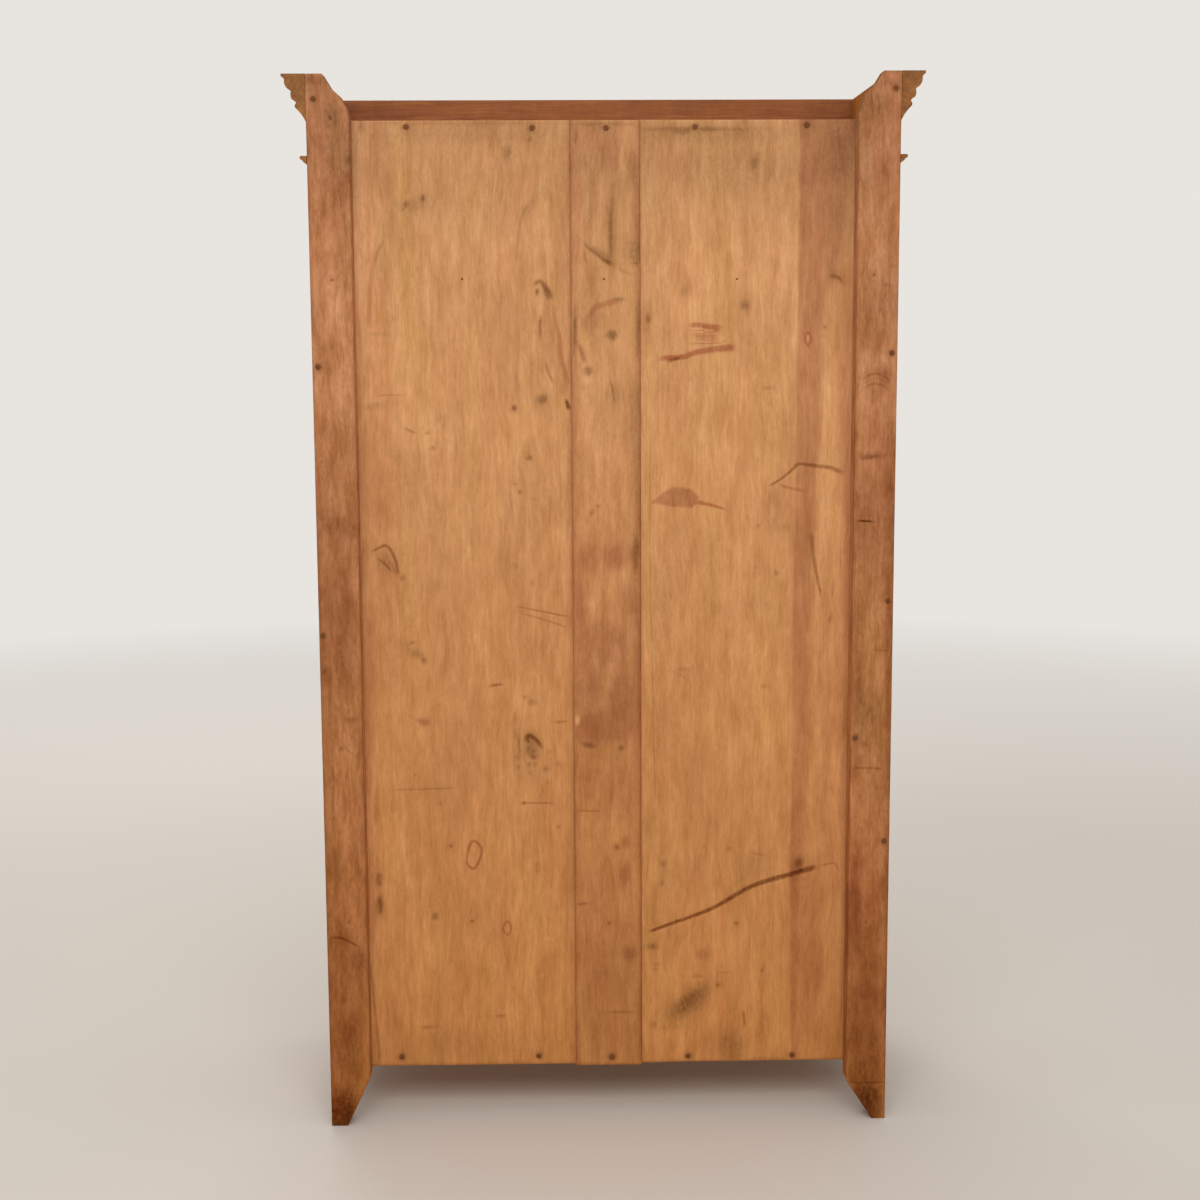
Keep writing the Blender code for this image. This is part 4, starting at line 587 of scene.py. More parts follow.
def wood_marks(node, places):
    """A board's marks at picture places, as the stains and lines that the pine finishes read."""
    marks = MARKS[node]
    stains = np.stack([spot_field(places, marks[kind]) for kind in STAINS], 1)
    lines = np.stack((*line_field(places, marks["cracks"]), *line_field(places, marks["strokes"])), 1)
    return stains, lines


def raise_stain(stains, kind, strength):
    """Makes one kind of stain at least as strong as given."""
    stains[:, kind] = np.maximum(stains[:, kind], strength)


def nail_field(places, nails):
    """The rust stain round nails: one at each nail, falling off as a spot does."""
    return spot_field(places, [(x, y, NAIL_STAIN, NAIL_STAIN, 1.0) for x, y in nails])


# Grid lines over an eased edge, as shares of it, and how many edges in the even lines begin
EDGE_LINES = (0.0, 0.586, 1.0)
EVEN_FROM = 3


def lines_between(low, high, step, edge):
    """Grid lines from low to high at about a step, with closer ones where the edges are eased."""
    near = np.array(EDGE_LINES) * edge
    margin = EVEN_FROM * edge
    count = max(2, math.ceil((high - low - 2 * margin) / step) + 1)
    between = np.linspace(low + margin, high - margin, count)
    return np.concatenate((low + near, between, (high - near)[::-1]))


def grid_quads(number, flip):
    """Four corners for each cell of a grid of point numbers, turned over if flip is set."""
    corner_numbers = (number[:-1, :-1], number[1:, :-1], number[1:, 1:], number[:-1, 1:])
    quads = np.stack(corner_numbers, -1).reshape(-1, 4)
    return quads[:, ::-1] if flip else quads


def rim(number, flip):
    """The point numbers round a grid's edge, as one face with many corners."""
    ring = np.concatenate((number[:-1, 0], number[-1, :-1], number[:0:-1, -1], number[0, :0:-1]))
    return ring[::-1] if flip else ring


def box_shell(xs, ys, zs, plain=()):
    """A closed box on three rows of grid lines: six grids that share the points along their edges.

    Each point of the lattice has a number, a side's quads join neighbours on it, and only the numbers
    in use are kept. A side named in plain is one face. Gives the points, the quads and the plain faces.
    """
    shape = (len(xs), len(ys), len(zs))
    number = np.arange(np.prod(shape)).reshape(shape)
    sides = {
        "-x": (number[0], True),
        "+x": (number[-1], False),
        "-y": (number[:, 0], False),
        "+y": (number[:, -1], True),
        "-z": (number[:, :, 0], True),
        "+z": (number[:, :, -1], False),
    }
    quads = np.vstack([grid_quads(*side) for name, side in sides.items() if name not in plain])
    faces = [rim(*sides[name]) for name in plain]
    used = np.unique(np.concatenate([quads.ravel(), *faces]))
    place = np.zeros(number.size, int)
    place[used] = np.arange(len(used))
    i, j, k = np.unravel_index(used, shape)
    return np.stack((xs[i], ys[j], zs[k]), 1), place[quads], [place[face] for face in faces]


def board_grid(low, high, step, edge):
    """A closed box from its low to its high corner, on grid lines at about one step."""
    return box_shell(*(lines_between(low[axis], high[axis], step, edge) for axis in (X, Y, Z)))


def ease(points, low, high, radius):
    """Rounds a box's edges: each point goes to the nearest of an inner box, then out by the radius."""
    inner = np.clip(points, low + radius, high - radius)
    away = points - inner
    length = np.linalg.norm(away, axis=1, keepdims=True)
    return inner + away * (radius / np.maximum(length, 1e-9))


def ripple(points, seed):
    """A gentle unevenness from -1 to 1: three waves of unlike length and direction, averaged."""
    waves = np.random.default_rng(seed).uniform((4, 2, 9), (9, 5, 17), (3, 3))
    phase = np.random.default_rng(seed + 1).uniform(0, 2 * math.pi, 3)
    return np.sin(points @ waves.T + phase).mean(1)


def grain_field(points, along, seed):
    """Across, along and through the grain in metres, moved by a chance offset so that boards differ.

    Across is the wider of the piece's other two ways.
    """
    through, across = sorted({X, Y, Z} - {along}, key=lambda axis: np.ptp(points[:, axis]))
    offset = np.random.default_rng(seed).uniform(-9, 9, 3)
    return points[:, (across, along, through)] + offset


def edge_wear(points, low, high, width):
    """How worn a box is near its edges: falls off with the second least distance to its faces."""
    gaps = np.sort(np.minimum(np.abs(points - low), np.abs(points - high)), axis=1)[:, 1]
    return np.exp(-gaps / width)


# What a piece carries for its finish, as the kind of attribute and the member that is set; and the finishes
FIELD_TYPES = {
    "grain": ("FLOAT_VECTOR", "vector"),
    "lines": ("FLOAT_COLOR", "color"),
    "stains": ("FLOAT_COLOR", "color"),
}
MATERIALS = {}


def add_piece(name, shell, finish, replaced=(), body=None, fields=None, sharp=50.0):
    """Puts a shell into the scene as a piece that rides on a body and stands for the replaced nodes."""
    points, quads, plain = shell
    mesh = bpy.data.meshes.new(name)
    faces = [face.tolist() for face in quads] + [face.tolist() for face in plain]
    mesh.from_pydata(points.tolist(), [], faces)
    if fields:
        fields = {"lines": np.zeros((len(points), 4)), **fields}
    for field, values in (fields or {}).items():
        kind, member = FIELD_TYPES[field]
        attribute = mesh.attributes.new(field, kind, "POINT")
        attribute.data.foreach_set(member, np.ascontiguousarray(values, np.float32).ravel())
    mesh.polygons.foreach_set("use_smooth", np.arange(len(faces)) < len(quads))
    mesh.set_sharp_from_angle(angle=math.radians(sharp))
    mesh.materials.append(MATERIALS[finish])
    mesh.update()
    piece = bpy.data.objects.new(name + "_finish" if name in frame["nodes"] else name, mesh)
    bpy.context.scene.collection.objects.link(piece)
    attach(piece, body or BODY_OF[replaced[0]])
    if replaced:
        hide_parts(*replaced)


def corners(node, spans=None):
    """A node's lowest and highest corner, with the spans of some axes put in their place."""
    low, high = (np.array(corner, float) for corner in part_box(node))
    for axis, (start, end) in (spans or {}).items():
        low[axis], high[axis] = start, end
    return low, high


def seed_of(name):
    """A number for each piece, from the letters of its name."""
    return sum((place + 1) * ord(letter) for place, letter in enumerate(name))


# Plain boards: rubbed edges and their width, dark patches, where painted shade darkens the rear's ends by the
# sides, the pale of a side's bare inner face below the top board, and the painted light and shade on that
# face above it
RUBBED_EDGE, RUBBED_WIDTH = 0.16, 0.004
DARK_PATCHES = 0.10
REAR_END_SHADE = (0.36, 0.48)
BARE_PALE = 0.4
ABOVE_TOP_LIGHT_AND_SHADE = {PALE: 0.60, DARK: 0.15}


def plank(node, finish, along, spans=None, edge=EASED_EDGE, bare_side=0, rear_tone=(0.0, 0.0)):
    """A plain board in a node's place, with eased, worn edges.

    The side that faces bare_side along X has no wax below the top board, and takes painted light and shade
    above it. The rear tone is how red and how dark its rear face is; the dark grows towards the rear's ends
    as painted shade in the corners by the sides.
    """
    low, high = corners(node, spans)
    radius = min(edge, (high - low).min() / 7)
    points, quads, plain = board_grid(low, high, PLAIN_STEP, radius)
    seed = seed_of(node)
    stains = np.zeros((len(points), 4))
    rear = points[:, Y] > high[Y] - radius
    # Painted shade: the rear face darkens towards its ends, in the corners by the sides
    rear_end_shade = rear * np.interp(np.abs(points[:, X]), REAR_END_SHADE, (0, 1))
    rubbed = RUBBED_EDGE * edge_wear(points, low, high, RUBBED_WIDTH)
    stains[:, PALE] = rubbed * (0.6 + 0.4 * ripple(points * 6, seed))
    stains[:, DARK] = DARK_PATCHES * np.clip(ripple(points * 2, seed + 5), 0, 1)
    stains[:, DARK] += rear_tone[1] * (rear + rear_end_shade)
    stains[:, RED] = rear_tone[0] * rear
    if bare_side:
        inner = (points[:, X] - (low + high)[X] / 2) * bare_side > 0
        top_low, top_high = corners("top_board")
        stains[:, PALE] += BARE_PALE * inner * (points[:, Z] < top_low[Z])
        # Painted light and shade on the inner face above the top board
        for stain, strength in ABOVE_TOP_LIGHT_AND_SHADE.items():
            stains[:, stain] += strength * inner * (points[:, Z] > top_high[Z])
    fields = {"grain": grain_field(points, along, seed), "stains": stains}
    add_piece(node, (ease(points, low, high, radius), quads, plain), finish, (node,), fields=fields)


# Back boards: which long edges meet a seam, which edge stands proud and by how much, the grid step,
# and the tones of the edges as (edge, stain, strength, width). The pale at an edge under a post is painted
# light that lifts the post's shadow; the wide dark and red on the centre board's edge beside the proud
# board are that board's painted shadow; the narrow red and dark at the seams are dark joints that also
# stand in for the shade of the nearly closed gaps.
BACK_BOARDS = {
    "back_board_right": (
        (-1,), -1, 0.0006, BACK_STEP,
        ((-1, RED, 0.80, 0.008), (-1, DARK, 0.30, 0.0020), (1, PALE, 0.45, 0.012)),
    ),
    "back_board_centre": (
        (-1, 1), 1, -0.0008, CENTRE_STEP,
        ((1, RED, 0.80, 0.012), (1, DARK, 0.30, 0.0020), (-1, DARK, 0.40, 0.005), (-1, RED, 0.70, 0.014)),
    ),
    "back_board_left": ((1,), 1, 0.0032, BACK_STEP, ((1, DARK, 0.25, 0.0018), (-1, PALE, 0.45, 0.012))),
}
# Shade at the boards' top: where it starts and is full, and how dark and grey it is
TOP_SHADE_LEVELS = (1.60, 1.72)
TOP_SHADE = {DARK: 0.10, GREY: 0.15}
# Darkening along the boards' feet and their rubbed tops, both with their reach, how uneven the wood is,
# and how much taller than wide the grid's cells are
FOOT_DARKENING, FOOT_DARKENING_REACH = 0.60, 0.0028
TOP_RUB, TOP_RUB_REACH = 0.40, 0.002
UNEVENNESS = 0.0004
TALL_CELL = 1.08


def shade_top(stains, heights):
    """Darkens a board or post towards its top, evenly between the shade's levels."""
    for stain, strength in TOP_SHADE.items():
        stains[:, stain] += strength * np.interp(heights, TOP_SHADE_LEVELS, (0, 1))


def back_board(node):
    """One upright back board: its outside carries the marks, and one long edge stands proud.

    The outside is raised along that edge by a half-cosine over the cup's reach, dented under the nails
    by a bell curve, and sunk along the cracks. The edges' tones fall off with the distance from them.
    A pale mark stronger than one is a fresh chip, which takes the red away.
    """
    seams, proud_side, proud, step, tones = BACK_BOARDS[node]
    low, high = corners(node)
    low[X] -= SEAM_CLOSING * (-1 in seams)
    high[X] += SEAM_CLOSING * (1 in seams)
    xs = lines_between(low[X], high[X], step, SEAM_EDGE)
    ys = lines_between(low[Y], high[Y], PLAIN_STEP, SEAM_EDGE)
    zs = lines_between(low[Z], high[Z], step * TALL_CELL, SEAM_EDGE)
    points, quads, plain = box_shell(xs, ys, zs, plain=("-y",))
    outside = np.clip((points[:, Y] - low[Y]) / (high - low)[Y] * 4 - 3, 0, 1)
    eased = ease(points, low, high, SEAM_EDGE)
    places = in_picture(eased)
    stains, lines = wood_marks(node, places)
    nails = nail_field(places, BOARD_NAILS)
    raise_stain(stains, DARK, NAIL_RUST * nails)
    if node == "back_board_left":
        raise_stain(stains, RED, patch_field(places, LEAF_STAIN, LEAF_RIM))
        raise_stain(stains, RED, heartwood_field(places))
    gaps = {-1: points[:, X] - low[X], 1: high[X] - points[:, X]}
    # Edge tones: painted light under the posts, painted shadow beside the proud board, and dark joints with
    # painted shade at the seams
    for edge, stain, strength, width in tones:
        raise_stain(stains, stain, strength * np.exp(-gaps[edge] / width))
    stains[:, RED] *= 1 - np.clip(stains[:, PALE] - 1, 0, 1)
    shade_top(stains, eased[:, Z])
    foot_darkening = FOOT_DARKENING * np.exp(-np.maximum(points[:, Z] - low[Z], 0) / FOOT_DARKENING_REACH)
    raise_stain(stains, DARK, foot_darkening)
    raise_stain(stains, PALE, TOP_RUB * np.exp((points[:, Z] - high[Z]) / TOP_RUB_REACH))
    seed = seed_of(node)
    grain = grain_field(eased, Z, seed)
    grain[:, 0] += PIXEL_AT_BACK * knot_flow(places, MARKS[node]["dark"]) * outside
    lift = proud * (1 + np.cos(math.pi * np.clip(gaps[proud_side] / BOARD_CUP_REACH, 0, 1))) / 2
    lift += UNEVENNESS * ripple(eased * np.array((2, 0, 1)), seed)
    lift -= NAIL_DENT * nails**2 + CRACK_DEPTH * lines[:, 1] * np.exp(-(lines[:, 0] ** 2) / 2)
    eased[:, Y] += outside * lift
    fields = {"grain": grain, "stains": stains * outside[:, None], "lines": lines * outside[:, None]}
    add_piece(node, (eased, quads, plain), "back_wood", (node,), fields=fields)


# Rear posts: unevenness of the worn edge, its share by height near the crown and by distance from the
# splice, grime on the edges and on the outer side, and on the inner face painted light below the crown
# and painted shade above it, on the slope of the cut
UNEVEN_WEAR = 0.35
CROWN_WEAR = (1.79, 1.83), (1, 0.4)
SPLICE_WEAR = (0.0, 0.020), (0.15, 1)
EDGE_GRIME, EDGE_GRIME_WIDTH = 0.20, 0.003
OUTER_GRIME = (1.15, 1.4), (0.46, 0.0)
OUTER_GRIME_WIDTH = 0.007
BELOW_CROWN = (1.79, 1.82), (1, 0)
INNER_PAINTED_LIGHT, INNER_PAINTED_SHADE = 0.40, 0.30
SIDE_SHARE = 0.35


def rear_post(node):
    """A rear post, or the tip spliced to its foot: a box whose width follows the post's outline.

    The width at a height goes straight from the foot to the full width, and along the top cut's slopes.
    """
    side, foot, worn, top_cut = REAR_POSTS[node]
    post_low, post_high = corners(node.replace("foot_tip", "post"))
    full_width = post_high[X] - post_low[X]
    outer = np.abs((post_low[X], post_high[X])).max()
    low, high = corners(node, {X: (0.0, full_width)})
    rows = [
        lines_between(low[axis], high[axis], step, WORN_EDGE)
        for axis, step in ((X, POST_STEP), (Y, 2 * POST_STEP), (Z, POST_STEP))
    ]
    points, quads, plain = box_shell(*rows, plain=("-y",))
    seed = seed_of(node)
    worn_edge = WORN_EDGE * (1 + UNEVEN_WEAR * ripple(points * 5, seed))
    worn_edge *= np.interp(points[:, Z], *CROWN_WEAR)
    if side < 0:
        splice = corners("rear_foot_tip_left")[1][Z]
        worn_edge *= np.interp(np.abs(points[:, Z] - splice), *SPLICE_WEAR)
    eased = ease(points, low, high, worn_edge[:, None])
    outside = np.clip((points[:, Y] - low[Y]) / (high - low)[Y] * 3 - 2, 0, 1)
    widths, drops = np.array(top_cut[::-1]).T / 1000
    taper = FOOT_TAPER if side > 0 else SPLICED_FOOT_TAPER
    levels = np.concatenate(((0.0, taper), post_high[Z] - drops))
    width = np.interp(eased[:, Z], levels, np.concatenate(((foot / 1000, full_width), widths)))
    inner_face = np.clip(points[:, X] / full_width * 20 - 19, 0, 1) * (1 - outside)
    eased[:, X] = side * (outer - eased[:, X] / full_width * width)
    eased[:, Y] += outside * UNEVENNESS * ripple(eased * np.array((3, 0, 1)), seed)
    eased[:, Z] -= worn / 1000 * np.clip((eased[:, Z] - post_high[Z]) / SETTLED_HEIGHT + 1, 0, 1)
    if side > 0:
        quads = quads[:, ::-1]
        plain = [face[::-1] for face in plain]
    places = in_picture(eased)
    stains, lines = wood_marks(node, places)
    raise_stain(stains, DARK, NAIL_RUST * nail_field(places, POST_NAILS))
    raise_stain(stains, DARK, EDGE_GRIME * edge_wear(points, low, high, EDGE_GRIME_WIDTH))
    outer_grime = np.exp(-points[:, X] / OUTER_GRIME_WIDTH) * np.interp(eased[:, Z], *OUTER_GRIME)
    raise_stain(stains, DARK, outer_grime)
    below = np.interp(eased[:, Z], *BELOW_CROWN)
    # Painted light on the inner side face below the crown lifts its shade; painted shade on the sloped cut
    # above it
    raise_stain(stains, PALE, INNER_PAINTED_LIGHT * inner_face * below)
    raise_stain(stains, DARK, INNER_PAINTED_SHADE * inner_face * (1 - below))
    shade_top(stains, eased[:, Z])
    grain = grain_field(eased, Z, seed)
    grain[:, 0] += PIXEL_AT_BACK * knot_flow(places, MARKS[node]["dark"])
    fields = {
        "grain": grain,
        "stains": stains * (SIDE_SHARE + (1 - SIDE_SHARE) * np.maximum(outside, inner_face)[:, None]),
        "lines": lines * outside[:, None],
    }
    add_piece(node, (eased, quads, plain), "post_wood", (node,), fields=fields)


def panel(node, left, right, low, high, slope):
    """A fielded panel: a flat rim, a straight slope and a small step up, by the distance from the rim."""
    box_low, box_high = corners(node, {X: (left, right), Z: (low, high)})
    field = PANEL_FLAT + slope
    marks = np.array((0.0, PANEL_FLAT, PANEL_FLAT + slope / 2, field, field + PANEL_STEP))

    def rows(start, end):
        """Grid lines with the panel's marks at both ends."""
        inner = np.linspace(start + marks[-1], end - marks[-1], max(3, round((end - start) / PLAIN_STEP)))
        return np.concatenate((start + marks[:-1], inner, (end - marks[:-1])[::-1]))

    depths = np.array((box_low[Y], box_high[Y]))
    points, quads, plain = box_shell(rows(left, right), depths, rows(low, high), plain=("+y",))
    gaps = np.minimum(points - box_low, box_high - points)[:, (X, Z)].min(1)
    rise = np.interp(gaps, marks[[0, 1, 3, 4]], (0.0, 0.0, PANEL_RISE - PANEL_STEP, PANEL_RISE))
    front = points[:, Y] < depths.mean()
    points[:, Y] = np.where(front, box_low[Y] + PANEL_RISE - rise, points[:, Y])
    stains = np.zeros((len(points), 4))
    stains[:, DARK] = PANEL_GRIME * np.exp(-gaps / PANEL_GRIME_REACH)
    stains[:, PALE] = PANEL_RUB * np.exp(-(((gaps - field) / PANEL_RUB_REACH) ** 2))
    fields = {"grain": grain_field(points, Z, seed_of(node)), "stains": stains}
    add_piece(node, (points, quads, plain), "front_wood", (node,), fields=fields, sharp=8.0)


def bulged(stretches, steps=6):
    """A profile through the ends of its stretches, each bulged aside by a parabola along its chord."""
    ends = np.array(stretches, float)
    rows = [ends[:1, :2]]
    t = np.linspace(0, 1, steps + 1)[1:, None]
    for start, end in zip(ends[:-1, :2], ends[1:]):
        chord = end[:2] - start
        aside = np.array((chord[1], -chord[0])) * end[2]
        stretch = start + t * chord + 4 * t * (1 - t) * aside
        rows.append(stretch if end[2] else stretch[-1:])
    return np.vstack(rows) / 1000


# Mouldings: grid lines along each, dark patches, rubbed slopes, how patchy the cut ends are, and the tones
# of those ends at the back as red, dark, pale and grey
MOULDING_LINES = 26
MOULDING_PATCHES, MOULDING_RUB, PATCHY_ENDS = 0.22, 0.22, 0.6
MOULDING_ENDS = {-1: (0.00, 0.28, 0.60, 0.80), 1: (0.00, 0.18, 1.05, 1.00)}


def moulding(stem, stretches, top, half_width, front, rear):
    """A moulding on the front and both sides: its profile carried along, mitred at the front corners.

    The right one's rear end has settled with its post, evenly over a length and a height.
    """
    crown_top = corners("rear_post_right")[1][Z]
    profile = bulged(stretches)
    out = np.concatenate(((SEAT_GAP,), profile[:, 0], (SEAT_GAP,)))
    level = top - np.concatenate(((0.0,), profile[:, 1], profile[-1:, 1]))
    share = np.linspace(0, 1, MOULDING_LINES)
    number = np.arange(len(share) * len(out)).reshape(len(share), len(out))
    around = np.hstack((number, number[:, :1]))
    for side, name in ((0, "front"), (-1, "left"), (1, "right")):
        if side:
            start, end = front - out + SEAT_GAP, np.full(len(out), rear)
            along = start + share[:, None] * (end - start)
            aside = np.broadcast_to(side * (half_width + out), along.shape)
            places = (aside, along)
        else:
            along = (2 * share[:, None] - 1) * (half_width + out - SEAT_GAP)
            places = (along, np.broadcast_to(front - out, along.shape))
        points = np.stack((*places, np.broadcast_to(level, along.shape)), -1).reshape(-1, 3)
        if side > 0:
            settled = np.clip((points[:, Y] - rear) / SETTLED_LENGTH + 1, 0, 1)
            settled *= np.clip((points[:, Z] - crown_top) / SETTLED_HEIGHT + 1, 0, 1)
            points[:, Z] -= REAR_POSTS["rear_post_right"][2] / 1000 * settled
        flip = side >= 0
        caps = [number[0], number[-1][::-1]] if flip else [number[0][::-1], number[-1]]
        node = f"{stem}_{name}"
        stains = np.zeros((len(points), 4))
        stains[:, DARK] = MOULDING_PATCHES * np.clip(ripple(points * 3, seed_of(node)), 0, 1)
        stains[:, PALE] = MOULDING_RUB * np.tile(np.clip(np.gradient(out) * 400, 0, 1), len(share))
        if side:
            patchy = 1 + PATCHY_ENDS * ripple(points[-len(out):] * 12, seed_of(node))
            stains[-len(out):] = np.array(MOULDING_ENDS[side]) * patchy[:, None]
        fields = {"grain": grain_field(points, Y if side else X, seed_of(node)), "stains": stains}
        shell = (points, grid_quads(around, flip), caps)
        add_piece(node, shell, "front_wood", (node,), fields=fields, sharp=28.0)


def lathe(profile, around=24):
    """A turned shape about its own Z: (radius, height) from the top pole to the bottom pole."""
    profile = np.array(profile, float)
    angle = np.linspace(0, 2 * math.pi, around, endpoint=False)
    radius, height = profile[1:-1].T
    rings = np.stack((
        radius[:, None] * np.cos(angle),
        radius[:, None] * np.sin(angle),
        np.broadcast_to(height[:, None], (len(radius), around)),
    ), -1).reshape(-1, 3)
    points = np.vstack((rings, (0, 0, profile[0, 1]), (0, 0, profile[-1, 1])))
    number = np.arange(len(rings)).reshape(len(radius), around)
    turned = np.hstack((number, number[:, :1]))
    top, bottom = len(rings), len(rings) + 1
    caps = [np.array((top, a, b)) for a, b in zip(turned[0, :-1], turned[0, 1:])]
    caps += [np.array((bottom, b, a)) for a, b in zip(turned[-1, :-1], turned[-1, 1:])]
    return points, grid_quads(turned, False), caps


def tube(path, radius, side, around=14, closed=False):
    """A round bar along a flat path: at each point a ring in the plane of the side and the path's normal."""
    path = np.array(path, float)
    tangent = np.roll(path, -1, 0) - np.roll(path, 1, 0) if closed else np.gradient(path, axis=0)
    tangent /= np.linalg.norm(tangent, axis=1, keepdims=True)
    normal = np.cross(tangent, side)
    angle = np.linspace(0, 2 * math.pi, around, endpoint=False)[None, :, None]
    radius = np.broadcast_to(radius, len(path))[:, None, None]
    ring = np.cos(angle) * np.array(side) + np.sin(angle) * normal[:, None, :]
    points = (path[:, None, :] + radius * ring).reshape(-1, 3)
    number = np.arange(len(points)).reshape(len(path), around)
    turned = np.hstack((number, number[:, :1]))
    if closed:
        return points, grid_quads(np.vstack((turned, turned[:1])), False), []
    return points, grid_quads(turned, False), [number[0], number[-1][::-1]]


# Turns that point a shell's own Z a given way
FACING = {
    "+y": np.array(((1, 0, 0), (0, 0, 1), (0, -1, 0))),
    "-y": np.array(((1, 0, 0), (0, 0, -1), (0, 1, 0))),
    "+z": np.eye(3),
}


def put(shell, way, places):
    """Copies of a shell, turned so that its own Z points the way given, at each of the places."""
    points, quads, plain = shell
    turned = points @ FACING[way].T
    places = np.array(places, float).reshape(-1, 3)
    many = (places[:, None, :] + turned).reshape(-1, 3)
    steps = np.arange(len(places)) * len(points)
    all_quads = (steps[:, None, None] + quads).reshape(-1, 4)
    return many, all_quads, [face + step for step in steps for face in plain]


def joined(shells):
    """Several shells as one, their point numbers shifted."""
    starts = np.concatenate(([0], np.cumsum([len(shell[0]) for shell in shells])))[:-1]
    points = np.vstack([shell[0] for shell in shells])
    quads = np.vstack([shell[1] + start for shell, start in zip(shells, starts)])
    return points, quads, [face + start for shell, start in zip(shells, starts) for face in shell[2]]


def slab(low, high, edge):
    """A small block with eased edges."""
    low, high = np.array(low, float), np.array(high, float)
    points, quads, plain = board_grid(low, high, SLAB_STEP, edge)
    return ease(points, low, high, edge), quads, plain


def screw_head(radius, height):
    """A slotted screw head: a dome, with the slot's floor where a point lies close to one diameter."""
    turn = np.linspace(0, math.pi / 2, 9)
    dome = np.stack((radius * np.sin(turn), height * np.cos(turn)), 1)
    points, quads, plain = lathe(np.vstack((dome, (radius, -height / 2), (0.0, -height / 2))), 40)
    slot = (np.abs(points[:, X]) < 0.16 * radius) & (points[:, Z] > 0.1 * height)
    points[:, Z] = np.where(slot, np.minimum(points[:, Z], 0.35 * height), points[:, Z])
    return points, quads, plain


# Shader helpers
FLOAT, COLOUR, VECTOR = "NodeSocketFloat", "NodeSocketColor", "NodeSocketVector"


def link(tree, value, socket):
    """Feeds a socket from another socket, or sets its value."""
    if isinstance(value, bpy.types.NodeSocket):
        tree.links.new(value, socket)
    else:
        socket.default_value = value


def add_node(tree, kind, inputs=None, **settings):
    """A node with its settings and its inputs."""
    made = tree.nodes.new(kind)
    for name, value in settings.items():
        setattr(made, name, value)
    for key, value in (inputs or {}).items():
        link(tree, value, made.inputs[key])
    return made


def math_node(tree, operation, *values):
    """The result of a Math node."""
    return add_node(tree, "ShaderNodeMath", dict(enumerate(values)), operation=operation).outputs[0]


def times(tree, first, second):
    """The product of two values."""
    return math_node(tree, "MULTIPLY", first, second)


def plus(tree, first, second):
    """The sum of two values."""
    return math_node(tree, "ADD", first, second)


def less(tree, first, second):
    """The first value less the second."""
    return math_node(tree, "SUBTRACT", first, second)


def vector_math(tree, operation, *values):
    """The vector that a Vector Math node gives."""
    return add_node(tree, "ShaderNodeVectorMath", dict(enumerate(values)), operation=operation).outputs[0]


def mix(tree, factor, first, second, blend="MIX"):
    """The result of mixing two colours."""
    inputs = {0: factor, 6: first, 7: second}
    return add_node(tree, "ShaderNodeMix", inputs, data_type="RGBA", blend_type=blend).outputs[2]


def ranged(tree, value, start, end, low=0.0, high=1.0):
    """A value taken from one range to another, and kept inside it."""
    limits = {"Value": value, "From Min": start, "From Max": end, "To Min": low, "To Max": high}
    return add_node(tree, "ShaderNodeMapRange", limits).outputs[0]


def noise(tree, vector, scale, detail=2.0, roughness=0.55):
    """Noise on a vector that is first stretched by three scales."""
    stretched = vector_math(tree, "MULTIPLY", vector, scale)
    inputs = {"Vector": stretched, "Scale": 1.0, "Detail": detail, "Roughness": roughness}
    return add_node(tree, "ShaderNodeTexNoise", inputs).outputs[0]


def split(tree, vector):
    """A vector's three parts."""
    return add_node(tree, "ShaderNodeSeparateXYZ", {0: vector}).outputs


def new_group(name, inputs, outputs):
    """An empty shader group with named sockets; gives its tree, its inputs and its outputs."""
    tree = bpy.data.node_groups.new(name, "ShaderNodeTree")
    for label, kind in inputs:
        tree.interface.new_socket(label, in_out="INPUT", socket_type=kind)
    for label in outputs:
        tree.interface.new_socket(label, in_out="OUTPUT", socket_type=COLOUR if label == "Color" else FLOAT)
    return tree, tree.nodes.new("NodeGroupInput").outputs, tree.nodes.new("NodeGroupOutput").inputs


# Growth of the pine: cells for knots per metre across, along and through the grain, a knot's size in
# cells, rings per metre, and the spacing of the hearts
KNOT_SCALE = (3.2, 2.4, 0.3)
KNOT_SIZE = 0.034
RINGS_PER_METRE = 120.0
HEART_SPACING = 0.15


